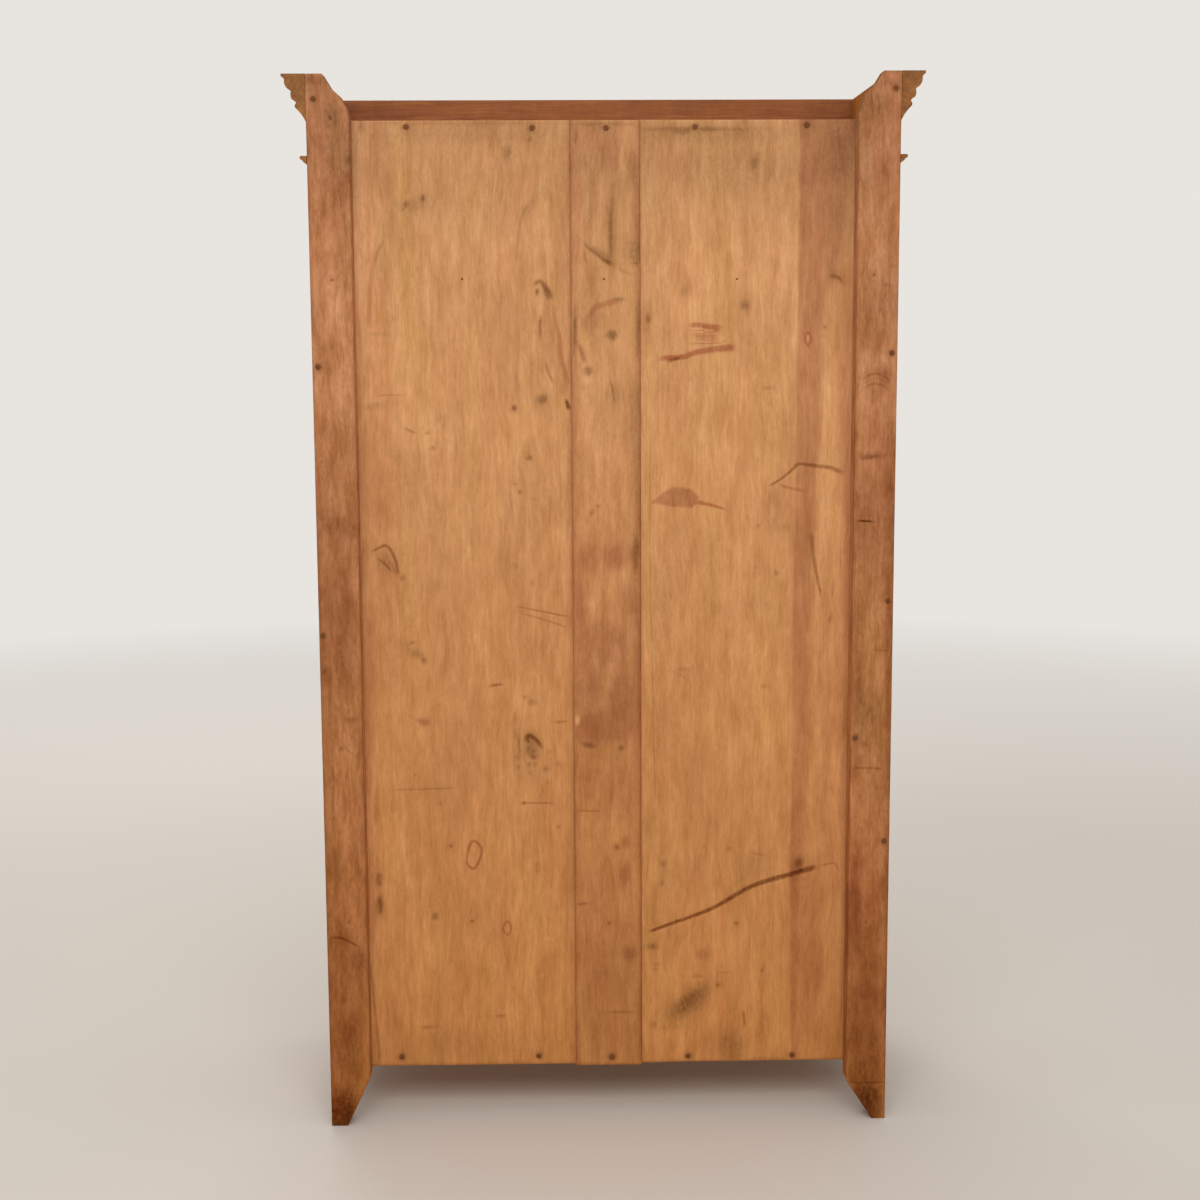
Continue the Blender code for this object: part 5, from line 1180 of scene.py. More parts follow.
def pine_grain_group():
    """Old pine's figure from its grain field.

    Knots are the middles of some cells of a stretched cell pattern, and push the grain aside. Rings are a
    sawtooth over the distance from a wandering heart, which gives arches where a board passes close to
    it. Streaks, fibres, flecks and clouds are noise stretched along the grain.
    """
    tree, given, out = new_group(
        "pine_grain", (("Grain", VECTOR),),
        ("Streaks", "Fibre", "Cloud", "Hue", "Rings", "Knots", "Flecks", "Dirt", "Mottle"),
    )
    stretched = vector_math(tree, "MULTIPLY", given["Grain"], KNOT_SCALE)
    cells = add_node(tree, "ShaderNodeTexVoronoi", {"Vector": stretched, "Scale": 1.0}).outputs
    chosen = ranged(tree, split(tree, cells["Color"])[0], 0.50, 0.52)
    knots = times(tree, ranged(tree, cells["Distance"], KNOT_SIZE * 1.15, KNOT_SIZE * 0.8), chosen)
    aside = split(tree, vector_math(tree, "SUBTRACT", stretched, cells["Position"]))[0]
    square = math_node(tree, "POWER", math_node(tree, "DIVIDE", cells["Distance"], KNOT_SIZE * 3.2), 2.0)
    near = times(tree, math_node(tree, "EXPONENT", times(tree, square, -1.0)), chosen)
    push = times(tree, times(tree, aside, near), -0.8 / KNOT_SCALE[0])
    wander = less(tree, noise(tree, given["Grain"], (5.0, 0.8, 5.0)), 0.5)
    waver = less(tree, noise(tree, given["Grain"], (17.0, 7.0, 17.0)), 0.5)
    shift = plus(tree, push, times(tree, wander, 0.030))
    shift = plus(tree, shift, times(tree, waver, 0.020))
    sideways = add_node(tree, "ShaderNodeCombineXYZ", {0: shift}).outputs[0]
    grain = vector_math(tree, "ADD", given["Grain"], sideways)
    across, _, through = split(tree, grain)
    heart = math_node(tree, "PINGPONG", plus(tree, across, times(tree, wander, 0.10)), HEART_SPACING)
    depth = plus(tree, math_node(tree, "PINGPONG", through, 0.03), 0.012)
    squares = plus(tree, math_node(tree, "POWER", heart, 2.0), math_node(tree, "POWER", depth, 2.0))
    far = math_node(tree, "SQRT", squares)
    far = plus(tree, far, times(tree, noise(tree, grain, (9.0, 1.0, 9.0)), 0.04))
    saw = math_node(tree, "FRACT", times(tree, far, RINGS_PER_METRE))
    broad = times(tree, noise(tree, grain, (56.0, 4.4, 56.0), 3.0), 0.60)
    fine = times(tree, noise(tree, grain, (190.0, 10.0, 190.0), 2.0), 0.40)
    results = {
        "Streaks": ranged(tree, plus(tree, broad, fine), 0.32, 0.68),
        "Fibre": noise(tree, grain, (850.0, 16.0, 850.0), 2.0),
        "Cloud": ranged(tree, noise(tree, grain, (9.0, 3.0, 9.0), 4.0), 0.30, 0.70),
        "Hue": noise(tree, grain, (24.0, 2.2, 24.0), 3.0),
        "Rings": math_node(tree, "POWER", saw, 3.0),
        "Knots": knots,
        "Flecks": ranged(tree, noise(tree, grain, (330.0, 46.0, 330.0), 2.0), 0.69, 0.80),
        "Dirt": ranged(tree, noise(tree, grain, (34.0, 14.0, 34.0), 6.0, 0.72), 0.42, 0.72),
        "Mottle": ranged(tree, noise(tree, grain, (46.0, 10.0, 46.0), 4.0, 0.88), 0.32, 0.68),
    }
    for label, value in results.items():
        tree.links.new(value, out[label])
    return tree


# What each mark multiplies the wood's colour by at full strength
MARK_TONES = {
    "red": (0.70, 0.58, 0.60, 1.0),
    "dark": (0.34, 0.23, 0.16, 1.0),
    "pale": (1.22, 1.32, 1.46, 1.0),
    "grey": (0.55, 0.56, 0.52, 1.0),
    "crack": (0.36, 0.24, 0.16, 1.0),
    "stroke": (0.66, 0.45, 0.44, 1.0),
}


def old_marks_group():
    """Stains and lines laid over a colour: each stain's field is broken up by noise.

    A line is full over its half width and falls off past it, as the exponent of minus the fourth power
    of the distance in half widths.
    """
    inputs = (
        ("Color", COLOUR), ("Stains", VECTOR), ("Smudge", FLOAT),
        ("Lines", VECTOR), ("Stroke", FLOAT), ("Place", VECTOR),
    )
    tree, given, out = new_group("old_marks", inputs, ("Color", "Depth"))
    patches = ranged(tree, noise(tree, given["Place"], (38.0, 38.0, 16.0), 4.0, 0.65), 0.30, 0.68, 0.65, 1.12)
    specks = noise(tree, given["Place"], (240.0, 240.0, 130.0), 3.0, 0.7)
    specks = ranged(tree, specks, 0.32, 0.66, 0.70, 1.30)
    breaks = ranged(tree, noise(tree, given["Place"], (200.0, 200.0, 200.0), 2.0), 0.30, 0.60, 0.80, 1.15)
    red, dark, pale = split(tree, given["Stains"])
    crack_gap, crack, stroke_gap = split(tree, given["Lines"])

    def over(colour, strength, breaking, tone):
        """A stain multiplied over a colour, its strength broken up."""
        both = {0: strength, 1: breaking}
        factor = add_node(tree, "ShaderNodeMath", both, operation="MULTIPLY", use_clamp=True).outputs[0]
        return mix(tree, factor, colour, MARK_TONES[tone], "MULTIPLY")

    def line(gap, strength):
        """A line's strength at a distance in half widths."""
        fourth = math_node(tree, "POWER", math_node(tree, "ABSOLUTE", gap), 4.0)
        return times(tree, math_node(tree, "EXPONENT", times(tree, fourth, -0.3)), strength)

    cracks = line(crack_gap, crack)
    colour = over(given["Color"], red, patches, "red")
    colour = over(colour, given["Smudge"], specks, "grey")
    colour = over(colour, pale, patches, "pale")
    colour = over(colour, dark, specks, "dark")
    colour = over(colour, line(stroke_gap, given["Stroke"]), breaks, "stroke")
    colour = over(colour, cracks, breaks, "crack")
    tree.links.new(colour, out["Color"])
    tree.links.new(cracks, out["Depth"])
    return tree


def worn_metal_group():
    """Iron or brass with rust or tarnish in clouds: a mask, a roughness and a fine pitted height."""
    tree, given, out = new_group(
        "worn_metal", (("Place", VECTOR), ("Rust Amount", FLOAT)), ("Rust", "Roughness", "Height"),
    )
    clouds = noise(tree, given["Place"], (90.0, 90.0, 90.0), 5.0, 0.65)
    pits = noise(tree, given["Place"], (900.0, 900.0, 900.0), 2.0)
    edge = less(tree, 0.75, times(tree, given["Rust Amount"], 0.5))
    rust = ranged(tree, clouds, edge, 0.78)
    dull = plus(tree, times(tree, rust, 0.35), times(tree, pits, 0.5))
    for label, value in (("Rust", rust), ("Roughness", dull), ("Height", plus(tree, pits, rust))):
        tree.links.new(value, out[label])
    return tree


def new_material(name):
    """A material with only its shader; gives the material, its tree and the shader."""
    material = bpy.data.materials.new(name)
    material.use_nodes = True
    return material, material.node_tree, material.node_tree.nodes["Principled BSDF"]


# What the pine's hues, dirt, mottling, rings, knots, flecks and fibres multiply its colour by
PINK_TONE = (1.00, 0.945, 0.95, 1.0)
YELLOW_TONE = (1.00, 1.03, 0.93, 1.0)
DIRT_TONE = (0.72, 0.62, 0.50, 1.0)
MOTTLE_TONES = ((1.24, 1.30, 1.38, 1.0), (0.72, 0.62, 0.48, 1.0))
LATE_TONE = (0.74, 0.60, 0.48, 1.0)
KNOT_TONE = (0.42, 0.28, 0.20, 1.0)
FLECK_TONE = (0.62, 0.50, 0.42, 1.0)
FIBRE_TONE = (0.72, 0.66, 0.60, 1.0)


def pine(name, groups, light, dark, cloud, low_shade_and_dirt, rings, knots, dirt, mottle, roughness, bump, gloss):
    """A pine finish: streaks from dark to light, clouds, rings and knots, darker low down, then its marks."""
    material, tree, shader = new_material(name)
    shader.inputs["Specular IOR Level"].default_value = gloss
    place = add_node(tree, "ShaderNodeTexCoord").outputs["Object"]
    grain, stains, lines = (
        add_node(tree, "ShaderNodeAttribute", attribute_name=field).outputs
        for field in ("grain", "stains", "lines")
    )
    figure = add_node(tree, "ShaderNodeGroup", node_tree=groups["grain"])
    link(tree, grain["Vector"], figure.inputs["Grain"])
    figure = figure.outputs
    colour = mix(tree, figure["Streaks"], srgb(*dark), srgb(*light))
    colour = mix(tree, ranged(tree, figure["Cloud"], 0.45, 1.0, 0.0, 0.55), colour, srgb(*cloud))
    colour = mix(tree, 1.0, colour, ranged(tree, figure["Cloud"], 0.0, 1.0, 1.06, 0.93), "MULTIPLY")
    colour = mix(tree, ranged(tree, figure["Hue"], 0.52, 0.70), colour, PINK_TONE, "MULTIPLY")
    colour = mix(tree, ranged(tree, figure["Hue"], 0.48, 0.30), colour, YELLOW_TONE, "MULTIPLY")
    colour = mix(tree, times(tree, figure["Rings"], rings), colour, LATE_TONE, "MULTIPLY")
    colour = mix(tree, times(tree, figure["Knots"], knots), colour, KNOT_TONE, "MULTIPLY")
    # Darker and warmer low down: partly dirt, partly painted shade and warm bounce light from the floor
    colour = mix(tree, ranged(tree, split(tree, place)[2], 1.75, 0.05), colour, low_shade_and_dirt, "MULTIPLY")
    colour = mix(tree, times(tree, figure["Flecks"], 0.5), colour, FLECK_TONE, "MULTIPLY")
    colour = mix(tree, times(tree, figure["Dirt"], dirt), colour, DIRT_TONE, "MULTIPLY")
    colour = mix(tree, mottle, colour, mix(tree, figure["Mottle"], *MOTTLE_TONES), "MULTIPLY")
    colour = mix(tree, ranged(tree, figure["Fibre"], 0.35, 0.7, 0.0, 0.30), colour, FIBRE_TONE, "MULTIPLY")
    marked = {
        "Color": colour, "Stains": stains["Vector"], "Smudge": stains["Alpha"],
        "Lines": lines["Vector"], "Stroke": lines["Alpha"], "Place": place,
    }
    marks = add_node(tree, "ShaderNodeGroup", node_tree=groups["marks"])
    for label, value in marked.items():
        link(tree, value, marks.inputs[label])
    link(tree, marks.outputs["Color"], shader.inputs["Base Color"])
    dull = ranged(tree, figure["Fibre"], 0.3, 0.7, roughness - 0.07, roughness + 0.09)
    link(tree, dull, shader.inputs["Roughness"])
    relief = less(tree, times(tree, figure["Fibre"], 0.25), marks.outputs["Depth"])
    relief = plus(tree, relief, times(tree, figure["Streaks"], 0.35))
    raised = add_node(tree, "ShaderNodeBump", {"Strength": bump, "Distance": 0.0008, "Height": relief})
    link(tree, raised.outputs[0], shader.inputs["Normal"])
    MATERIALS[name] = material


def metal(name, group, clean, rust, amount, roughness, metallic, gloss=0.5):
    """A metal finish: the clean metal with rust or tarnish in clouds."""
    material, tree, shader = new_material(name)
    shader.inputs["Specular IOR Level"].default_value = gloss
    worn = add_node(tree, "ShaderNodeGroup", node_tree=group)
    link(tree, add_node(tree, "ShaderNodeTexCoord").outputs["Object"], worn.inputs["Place"])
    worn.inputs["Rust Amount"].default_value = amount
    colour = mix(tree, worn.outputs["Rust"], srgb(*clean), srgb(*rust))
    link(tree, colour, shader.inputs["Base Color"])
    shine = times(tree, less(tree, 1.0, worn.outputs["Rust"]), metallic)
    link(tree, shine, shader.inputs["Metallic"])
    dull = ranged(tree, worn.outputs["Roughness"], 0.1, 0.7, roughness - 0.1, roughness + 0.25)
    link(tree, dull, shader.inputs["Roughness"])
    raised = {"Strength": 0.35, "Distance": 0.0004, "Height": worn.outputs["Height"]}
    link(tree, add_node(tree, "ShaderNodeBump", raised).outputs[0], shader.inputs["Normal"])
    MATERIALS[name] = material


# Pine finishes: colours of the light and dark streaks and of the clouds as a screen shows them, the tone
# low down, which is partly dirt and partly painted shade with warm light bounced from the floor, and how
# much of each effect
FRONT_PINE = dict(
    light=(194, 129, 63), dark=(166, 100, 46), cloud=(178, 111, 54), low_shade_and_dirt=(0.88, 0.84, 0.80, 1.0),
    rings=0.50, knots=0.85, dirt=0.15, mottle=0.45, roughness=0.48, bump=0.25,
)
PINES = {
    "back_wood": dict(
        light=(221, 169, 120), dark=(207, 150, 102), cloud=(213, 158, 109), low_shade_and_dirt=(0.90, 0.74, 0.51, 1.0),
        rings=0.10, knots=0.0, dirt=0.30, mottle=0.54, roughness=0.72, bump=0.35, gloss=0.08,
    ),
    "post_wood": dict(
        light=(209, 152, 113), dark=(190, 132, 92), cloud=(195, 137, 100), low_shade_and_dirt=(0.81, 0.67, 0.41, 1.0),
        rings=0.15, knots=0.0, dirt=1.0, mottle=0.80, roughness=0.68, bump=0.30, gloss=0.0,
    ),
    "front_wood": dict(FRONT_PINE, gloss=0.20),
    "side_wood": dict(FRONT_PINE, gloss=0.0),
    "inside_wood": dict(
        light=(218, 172, 120), dark=(194, 142, 93), cloud=(206, 156, 108), low_shade_and_dirt=(0.94, 0.90, 0.86, 1.0),
        rings=0.45, knots=0.80, dirt=0.15, mottle=0.30, roughness=0.74, bump=0.30, gloss=0.15,
    ),
}
# Metal finishes: colours of the clean metal and of its rust or tarnish, and how much of each effect
METALS = {
    "hook_iron": dict(clean=(52, 50, 48), rust=(92, 60, 42), amount=0.45, roughness=0.45, metallic=0.85),
    "rusty_iron": dict(
        clean=(118, 76, 44), rust=(92, 56, 30), amount=0.60, roughness=0.70, metallic=0.0, gloss=0.05,
    ),
    "hinge_iron": dict(clean=(104, 94, 86), rust=(98, 62, 42), amount=0.55, roughness=0.42, metallic=0.9),
    "lock_steel": dict(clean=(128, 120, 112), rust=(104, 72, 50), amount=0.40, roughness=0.38, metallic=0.9),
    "brass": dict(clean=(190, 152, 86), rust=(110, 82, 44), amount=0.50, roughness=0.30, metallic=1.0),
}


def make_materials():
    """Every finish of the wardrobe: the woods, with a duller one for the sides, then the metals."""
    groups = {"grain": pine_grain_group(), "marks": old_marks_group()}
    for name, look in PINES.items():
        pine(name, groups, **look)
    worn = worn_metal_group()
    for name, look in METALS.items():
        metal(name, worn, **look)


def carcass():
    """Sides, top, bottom, back boards and rear posts."""
    inner = corners("hat_shelf")[1][X] + SEAT_GAP
    for side, name in ((-1, "side_board_left"), (1, "side_board_right")):
        plank(name, "side_wood", Z, bare_side=-side)
    for name in ("top_board", "bottom_board"):
        plank(name, "inside_wood", X, {X: (-inner, inner)})
    for name in BACK_BOARDS:
        back_board(name)
    for name in REAR_POSTS:
        rear_post(name)


def front_frame():
    """Posts, rails, frieze and panels of the front, without their hidden tongues."""
    rail_top = corners("bottom_rail")[1][Z]
    frieze_foot = corners("frieze_board")[0][Z]
    plank("frieze_board", "front_wood", X, edge=WORN_EDGE, rear_tone=(0.80, 0.18))
    post_edge = corners("front_post_right")[0][X]
    door_post_edge = corners("door_post_right")[1][X]
    plank("bottom_rail", "front_wood", X, {X: (SEAT_GAP - post_edge, post_edge - SEAT_GAP)})
    for side, name in ((-1, "left"), (1, "right")):
        front_post(f"front_post_{name}", side)
        plank(f"door_post_{name}", "front_wood", Z, {Z: (rail_top + SEAT_GAP, frieze_foot - SEAT_GAP)})
        left, right = sorted((side * post_edge, side * door_post_edge))
        panel(f"front_panel_{name}", left, right, rail_top, frieze_foot, FRONT_PANEL_SLOPE)


def front_post(node, side):
    """A front corner post: a box whose inner side tapers over the foot."""
    low, high = corners(node)
    width = high[X] - low[X]
    outer = np.abs((low[X], high[X])).max()
    low[X], high[X] = 0.0, width
    points, quads, plain = board_grid(low, high, PLAIN_STEP, EASED_EDGE)
    eased = ease(points, low, high, EASED_EDGE)
    share = np.interp(eased[:, Z], (0.0, FOOT_TAPER), (FRONT_FOOT / width, 1.0))
    eased[:, X] = side * (outer - eased[:, X] * share)
    stains = np.zeros((len(points), 4))
    stains[:, DARK] = FRONT_FOOT_GRIME * np.exp(-eased[:, Z] / FRONT_FOOT_GRIME_REACH)
    stains[:, PALE] = FRONT_POST_RUB * edge_wear(points, low, high, RUBBED_WIDTH)
    fields = {"grain": grain_field(eased, Z, seed_of(node)), "stains": stains}
    shell = (eased, quads[:, ::-1] if side > 0 else quads, plain)
    add_piece(node, shell, "front_wood", (node,), fields=fields)


def door():
    """Stiles, rails and fielded panels of the door."""
    hinge_edge = corners("door_stile_hinge")[1][X]
    lock_edge = corners("door_stile_lock")[0][X]
    for name in ("door_stile_hinge", "door_stile_lock"):
        plank(name, "front_wood", Z, edge=WORN_EDGE)
    for name in ("door_bottom_rail", "door_middle_rail", "door_top_rail"):
        plank(name, "front_wood", X, {X: (hinge_edge + SEAT_GAP, lock_edge - SEAT_GAP)})
    rails = {name: corners(f"door_{name}_rail") for name in ("bottom", "middle", "top")}
    for name, below, above in (("lower", "bottom", "middle"), ("upper", "middle", "top")):
        low, high = rails[below][1][Z], rails[above][0][Z]
        panel(f"door_panel_{name}", hinge_edge, lock_edge, low, high, DOOR_PANEL_SLOPE)


def inside():
    """Hat shelf, its cleats, the hook rail and the door's stops."""
    for name in ("hat_shelf", "hook_rail", "door_stop_top", "door_stop_bottom"):
        plank(name, "inside_wood", X)
    for name in ("shelf_cleat_left", "shelf_cleat_right"):
        plank(name, "inside_wood", Y)


# Coat hooks: plate, and arms as (root height, reach, rise)
HOOK_PLATE = (0.020, 0.004, 0.068)
HOOK_ARMS = ((0.012, 0.062, 0.034), (-0.024, 0.034, 0.020))
HOOK_ARM_RADIUS = 0.0034
HOOK_ROOT_RADIUS = 0.0050
HOOK_KNOB = 0.0070
HOOK_SWELL = 0.0009
HOOK_SCREWS = (0.028, -0.005)
HOOK_SCREW = (0.0032, 0.0016)


def hook_plate():
    """A hook's plate: a box whose ends narrow as a half-ellipse, its front swelled by a parabola."""
    width, thick, height = HOOK_PLATE
    end = width / 2
    xs = lines_between(-end, end, 0.003, 0.0012)
    ys = lines_between(0.0, thick, 0.01, 0.0006)
    points, quads, plain = box_shell(xs, ys, np.linspace(-height / 2, height / 2, 33))
    past = np.clip(np.abs(points[:, Z]) - (height / 2 - end), 0, end * 0.995)
    points[:, X] *= np.sqrt(1 - (past / end) ** 2)
    swell = HOOK_SWELL * (1 - (points[:, X] / end) ** 2)
    points[:, Y] -= np.where(points[:, Y] < thick / 2, swell, 0)
    points[:, Y] = np.maximum(points[:, Y], -HOOK_SWELL)
    return points, quads, plain


def hook_arm(root, reach, rise):
    """A hook's arm: a quarter ellipse out and up, thinning, then a ball on its end."""
    angle = np.linspace(0, math.pi / 2, 22)
    arc = np.stack((0 * angle, -reach * np.sin(angle), root + rise * (1 - np.cos(angle))), 1)
    turn = np.linspace(-0.75, 1, 12) * math.pi / 2
    ball = arc[-1] + np.stack((0 * turn, 0 * turn, HOOK_KNOB * np.sin(turn)), 1)
    arc = arc[arc[:, Z] < ball[0, Z] - 0.0004]
    path = np.vstack(((0.0, HOOK_PLATE[1] * 0.6, root), arc, ball))
    radius = np.concatenate((
        (HOOK_ROOT_RADIUS,),
        np.linspace(HOOK_ROOT_RADIUS, HOOK_ARM_RADIUS, len(arc)),
        np.maximum(HOOK_KNOB * np.cos(turn), 0.0003),
    ))
    return tube(path, radius, (1.0, 0.0, 0.0))


def coat_hooks():
    """Five cast double hooks: a plate with round ends, and two arms that swell into knobs."""
    shells = [hook_plate()]
    shells += [hook_arm(*arm) for arm in HOOK_ARMS]
    shells.append(put(screw_head(*HOOK_SCREW), "-y", [(0, -0.0008, level) for level in HOOK_SCREWS]))
    hook = joined(shells)
    for index in range(1, 6):
        name = f"coat_hook_{index}"
        low, high = corners(name)
        middle = ((low + high)[X] / 2, high[Y] - HOOK_PLATE[1], low[Z] + HOOK_PLATE[2] / 2)
        add_piece(name, put(hook, "+z", (middle,)), "hook_iron", (name,))


# Hinges: knuckle, its rounded rim, the frame leaf's knuckle length, foot ball, and the leaves
KNUCKLE_RADIUS = 0.0060
KNUCKLE_RIM = 0.0006
FRAME_KNUCKLE = 0.040
FOOT_BALL = 0.0048
LEAF_OFFSET = 0.00078
LEAF_THICKNESS = 0.0016
LEAF_START = 0.0042


def ball_profile(radius, middle, flare=0.0):
    """A ball as a turned profile, from its top to its bottom, a little fuller at its poles with a flare."""
    turn = np.linspace(0, math.pi, 15)
    out = radius * np.sin(turn) * (1 + flare * np.cos(2 * turn))
    return np.stack((out, middle + radius * np.cos(turn)), 1)


def hinges():
    """Knuckles, leaves and pins of the two hinges."""
    for place in ("lower", "upper"):
        pin_low, pin_high = corners(f"hinge_pin_{place}")
        axis = (pin_low + pin_high)[:2] / 2
        foot_place = ((*axis, 0.0),)
        for part, side in (("frame", -1), ("door", 1)):
            name = f"hinge_{part}_leaf_{place}"
            low, high = corners(name)
            foot = high[Z] - FRAME_KNUCKLE if part == "frame" else low[Z]
            inner, top = KNUCKLE_RADIUS - KNUCKLE_RIM, high[Z]
            barrel = [(0.0, top), (inner, top), (KNUCKLE_RADIUS, top - KNUCKLE_RIM)]
            barrel += [(KNUCKLE_RADIUS, foot + KNUCKLE_RIM), (inner, foot), (0.0, foot)]
            shells = [put(lathe(barrel, 32), "+z", foot_place)]
            if part == "frame":
                shells.append(put(lathe(ball_profile(FOOT_BALL, foot)), "+z", foot_place))
            edge = axis[0] + side * LEAF_OFFSET
            left, right = sorted((edge, edge + side * LEAF_THICKNESS))
            shells.append(slab((left, axis[1] + LEAF_START, foot), (right, high[Y], top), 0.0003))
            add_piece(name, joined(shells), "hinge_iron", (name,))
        foot = corners(f"hinge_door_leaf_{place}")[1][Z] + SEAT_GAP
        radius = (pin_high[Z] - foot) / 2
        name = f"hinge_pin_{place}"
        finial = lathe(ball_profile(radius, foot + radius, 0.08), 28)
        add_piece(name, put(finial, "+z", foot_place), "hinge_iron", (name,))


# Key: bow, shank and collar; escutcheon: keyhole, pins and the dark plate behind it, painted shade for the
# keyhole's depth
BOW_WIRE, BOW_DEPTH, BOW_HEIGHT = 0.0022, 0.010, 0.0125
KEY_SHANK, KEY_COLLAR, KEY_BIT, KEY_BIT_REACH = 0.0030, 0.0045, 0.0015, 0.011
HOLE_RADIUS, SLOT_HALF, SLOT_DROP = 0.0038, 0.0023, 0.0118
PLATE_PINS = 0.019
SHADE_PLATE_HALF_WIDTH, SHADE_PLATE_DROP, SHADE_PLATE_HALF_DEPTH, SHADE_PLATE_EDGE = 0.0046, 0.0128, 0.0004, 0.0002
# Screws and pins as (radius, height of the head), and how far screws sit from the ends
PLATE_PIN, CASE_SCREW, KEEP_SCREW = (0.0013, 0.0008), (0.0032, 0.0013), (0.0026, 0.0012)
SCREW_INSET, KEEP_SCREW_INSET = 0.007, 0.0052


def key_shell(middle):
    """The key: a ring for its bow, a turned shank with a collar, and a flat bit."""
    low, high = corners("key")
    bolt_low, bolt_high = corners("lock_bolt")
    bow_middle = low[Y] + BOW_WIRE + BOW_DEPTH
    around = np.linspace(0, 2 * math.pi, 40, endpoint=False)
    bow = np.stack((
        np.full(len(around), middle[X]),
        bow_middle + BOW_DEPTH * np.cos(around),
        middle[Z] + BOW_HEIGHT * np.sin(around),
    ), 1)
    neck = bow_middle + BOW_DEPTH
    length = high[Y] - neck
    shank = (
        (0.0, 0.0), (KEY_SHANK * 0.9, 0.0), (KEY_SHANK, 0.0016), (KEY_SHANK, 0.0024), (KEY_COLLAR, 0.0030),
        (KEY_COLLAR, 0.0052), (KEY_SHANK, 0.0060), (KEY_SHANK, length - 0.0005),
        (KEY_SHANK - 0.0006, length), (0.0, length),
    )
    turned = lathe(np.array(shank) * (1, -1), 28)
    bit_low = (middle[X] - KEY_BIT, bolt_low[Y] + 0.0008, middle[Z] - KEY_BIT_REACH)
    bit_high = (middle[X] + KEY_BIT, bolt_high[Y] - 0.0008, middle[Z])
    return joined((
        tube(bow, BOW_WIRE, (1.0, 0.0, 0.0), closed=True),
        put(turned, "-y", ((middle[X], neck, middle[Z]),)),
        slab(bit_low, bit_high, 0.0003),
    ))


def escutcheon_shell(middle):
    """The oval plate: rings from the keyhole's edge out to the rim, domed, closed behind, with two pins."""
    low, high = corners("escutcheon")
    angle = np.linspace(0, 2 * math.pi, 64, endpoint=False)
    circle = np.stack((np.cos(angle), np.sin(angle)), 1)
    hole = HOLE_RADIUS * circle
    below = (hole[:, 1] < 0) & (np.abs(hole[:, 0]) < SLOT_HALF)
    hole[:, 1] = np.where(below, -SLOT_DROP, hole[:, 1])
    share = np.array((0.0, 0.0, 0.06, 0.5, 0.94, 1.0, 1.0))
    lift = np.array((0.0, 0.55, 1.0, 1.0, 0.8, 0.35, 0.0)) * (high - low)[Y]
    face = hole + share[:, None, None] * (circle * (high - low)[[X, Z]] / 2 - hole)
    depth = np.broadcast_to(high[Y] - lift[:, None], face.shape[:2])
    points = np.stack((middle[X] + face[..., 0], depth, middle[Z] + face[..., 1]), -1).reshape(-1, 3)
    number = np.arange(len(points)).reshape(len(share), len(angle))
    looped = np.vstack((number, number[:1]))
    quads = grid_quads(np.hstack((looped, looped[:, :1])), True)
    pins = [(middle[X], low[Y] + 0.0003, middle[Z] + side * PLATE_PINS) for side in (-1, 1)]
    return joined(((points, quads, []), put(screw_head(*PLATE_PIN), "-y", pins)))


def lock_and_key():
    """Escutcheon, key and screws of the rim lock; the case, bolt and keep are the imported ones."""
    for name in ("lock_case", "lock_bolt", "lock_keep"):
        for slot in frame["nodes"][name].material_slots:
            slot.material = MATERIALS["lock_steel"]
    plate_low, plate_high = corners("escutcheon")
    middle = (plate_low + plate_high) / 2
    add_piece("key", key_shell(middle), "brass", ("key",))
    add_piece("escutcheon", escutcheon_shell(middle), "brass", ("escutcheon",))
    behind = plate_high[Y]
    # A dark iron plate behind the keyhole: painted shade for the depth of a hole that the stile does not have
    shade_plate = slab(
        (middle[X] - SHADE_PLATE_HALF_WIDTH, behind - SHADE_PLATE_HALF_DEPTH, middle[Z] - SHADE_PLATE_DROP),
        (middle[X] + SHADE_PLATE_HALF_WIDTH, behind + SHADE_PLATE_HALF_DEPTH, middle[Z] + SHADE_PLATE_HALF_WIDTH),
        SHADE_PLATE_EDGE,
    )
    add_piece("keyhole_shade_plate", shade_plate, "hook_iron", body="door")
    low, high = corners("lock_case")
    spots = [
        (x, high[Y], z)
        for x in (low[X] + SCREW_INSET, high[X] - SCREW_INSET)
        for z in (low[Z] + SCREW_INSET, high[Z] - SCREW_INSET)
    ]
    add_piece("lock_case_screws", put(screw_head(*CASE_SCREW), "+y", spots), "lock_steel", body="door")
    low, high = corners("lock_keep")
    across = (low + high)[X] / 2
    spots = [(across, low[Y] + 0.002, z) for z in (low[Z] + KEEP_SCREW_INSET, high[Z] - KEEP_SCREW_INSET)]
    add_piece("lock_keep_screws", put(screw_head(*KEEP_SCREW), "+y", spots), "lock_steel", body="carcass")


# Turned profiles of a nail's head and a screw's tip, as (share of the radius, height in millimetres)
NAIL_PROFILE = ((0, 1.1), (0.45, 1.0), (0.8, 0.7), (1.0, 0.2), (1.0, -0.8), (0, -0.8))
TIP_PROFILE = ((0, 2.2), (0.6, 1.4), (1.0, 0.2), (1.0, -2.0), (0, -2.0))


def back_nails():
    """Nail heads along the back boards and down the rear posts, and the tips of the hook rail's screws."""
    head = np.array(NAIL_PROFILE) * (NAIL_RADIUS, 0.001)
    tip = np.array(TIP_PROFILE) * (SCREW_TIP_RADIUS, 0.001)
    board = corners("back_board_left")[1][Y]
    post = corners("rear_post_left")[1][Y]
    places = np.vstack((seen_at(BOARD_NAILS, board), seen_at(POST_NAILS, post)))
    add_piece("back_nails", put(lathe(head, 18), "+y", places), "rusty_iron", body="carcass")
    tips = put(lathe(tip, 14), "+y", seen_at(SCREW_TIPS, board))
    add_piece("hook_rail_screw_tips", tips, "rusty_iron", body="carcass")


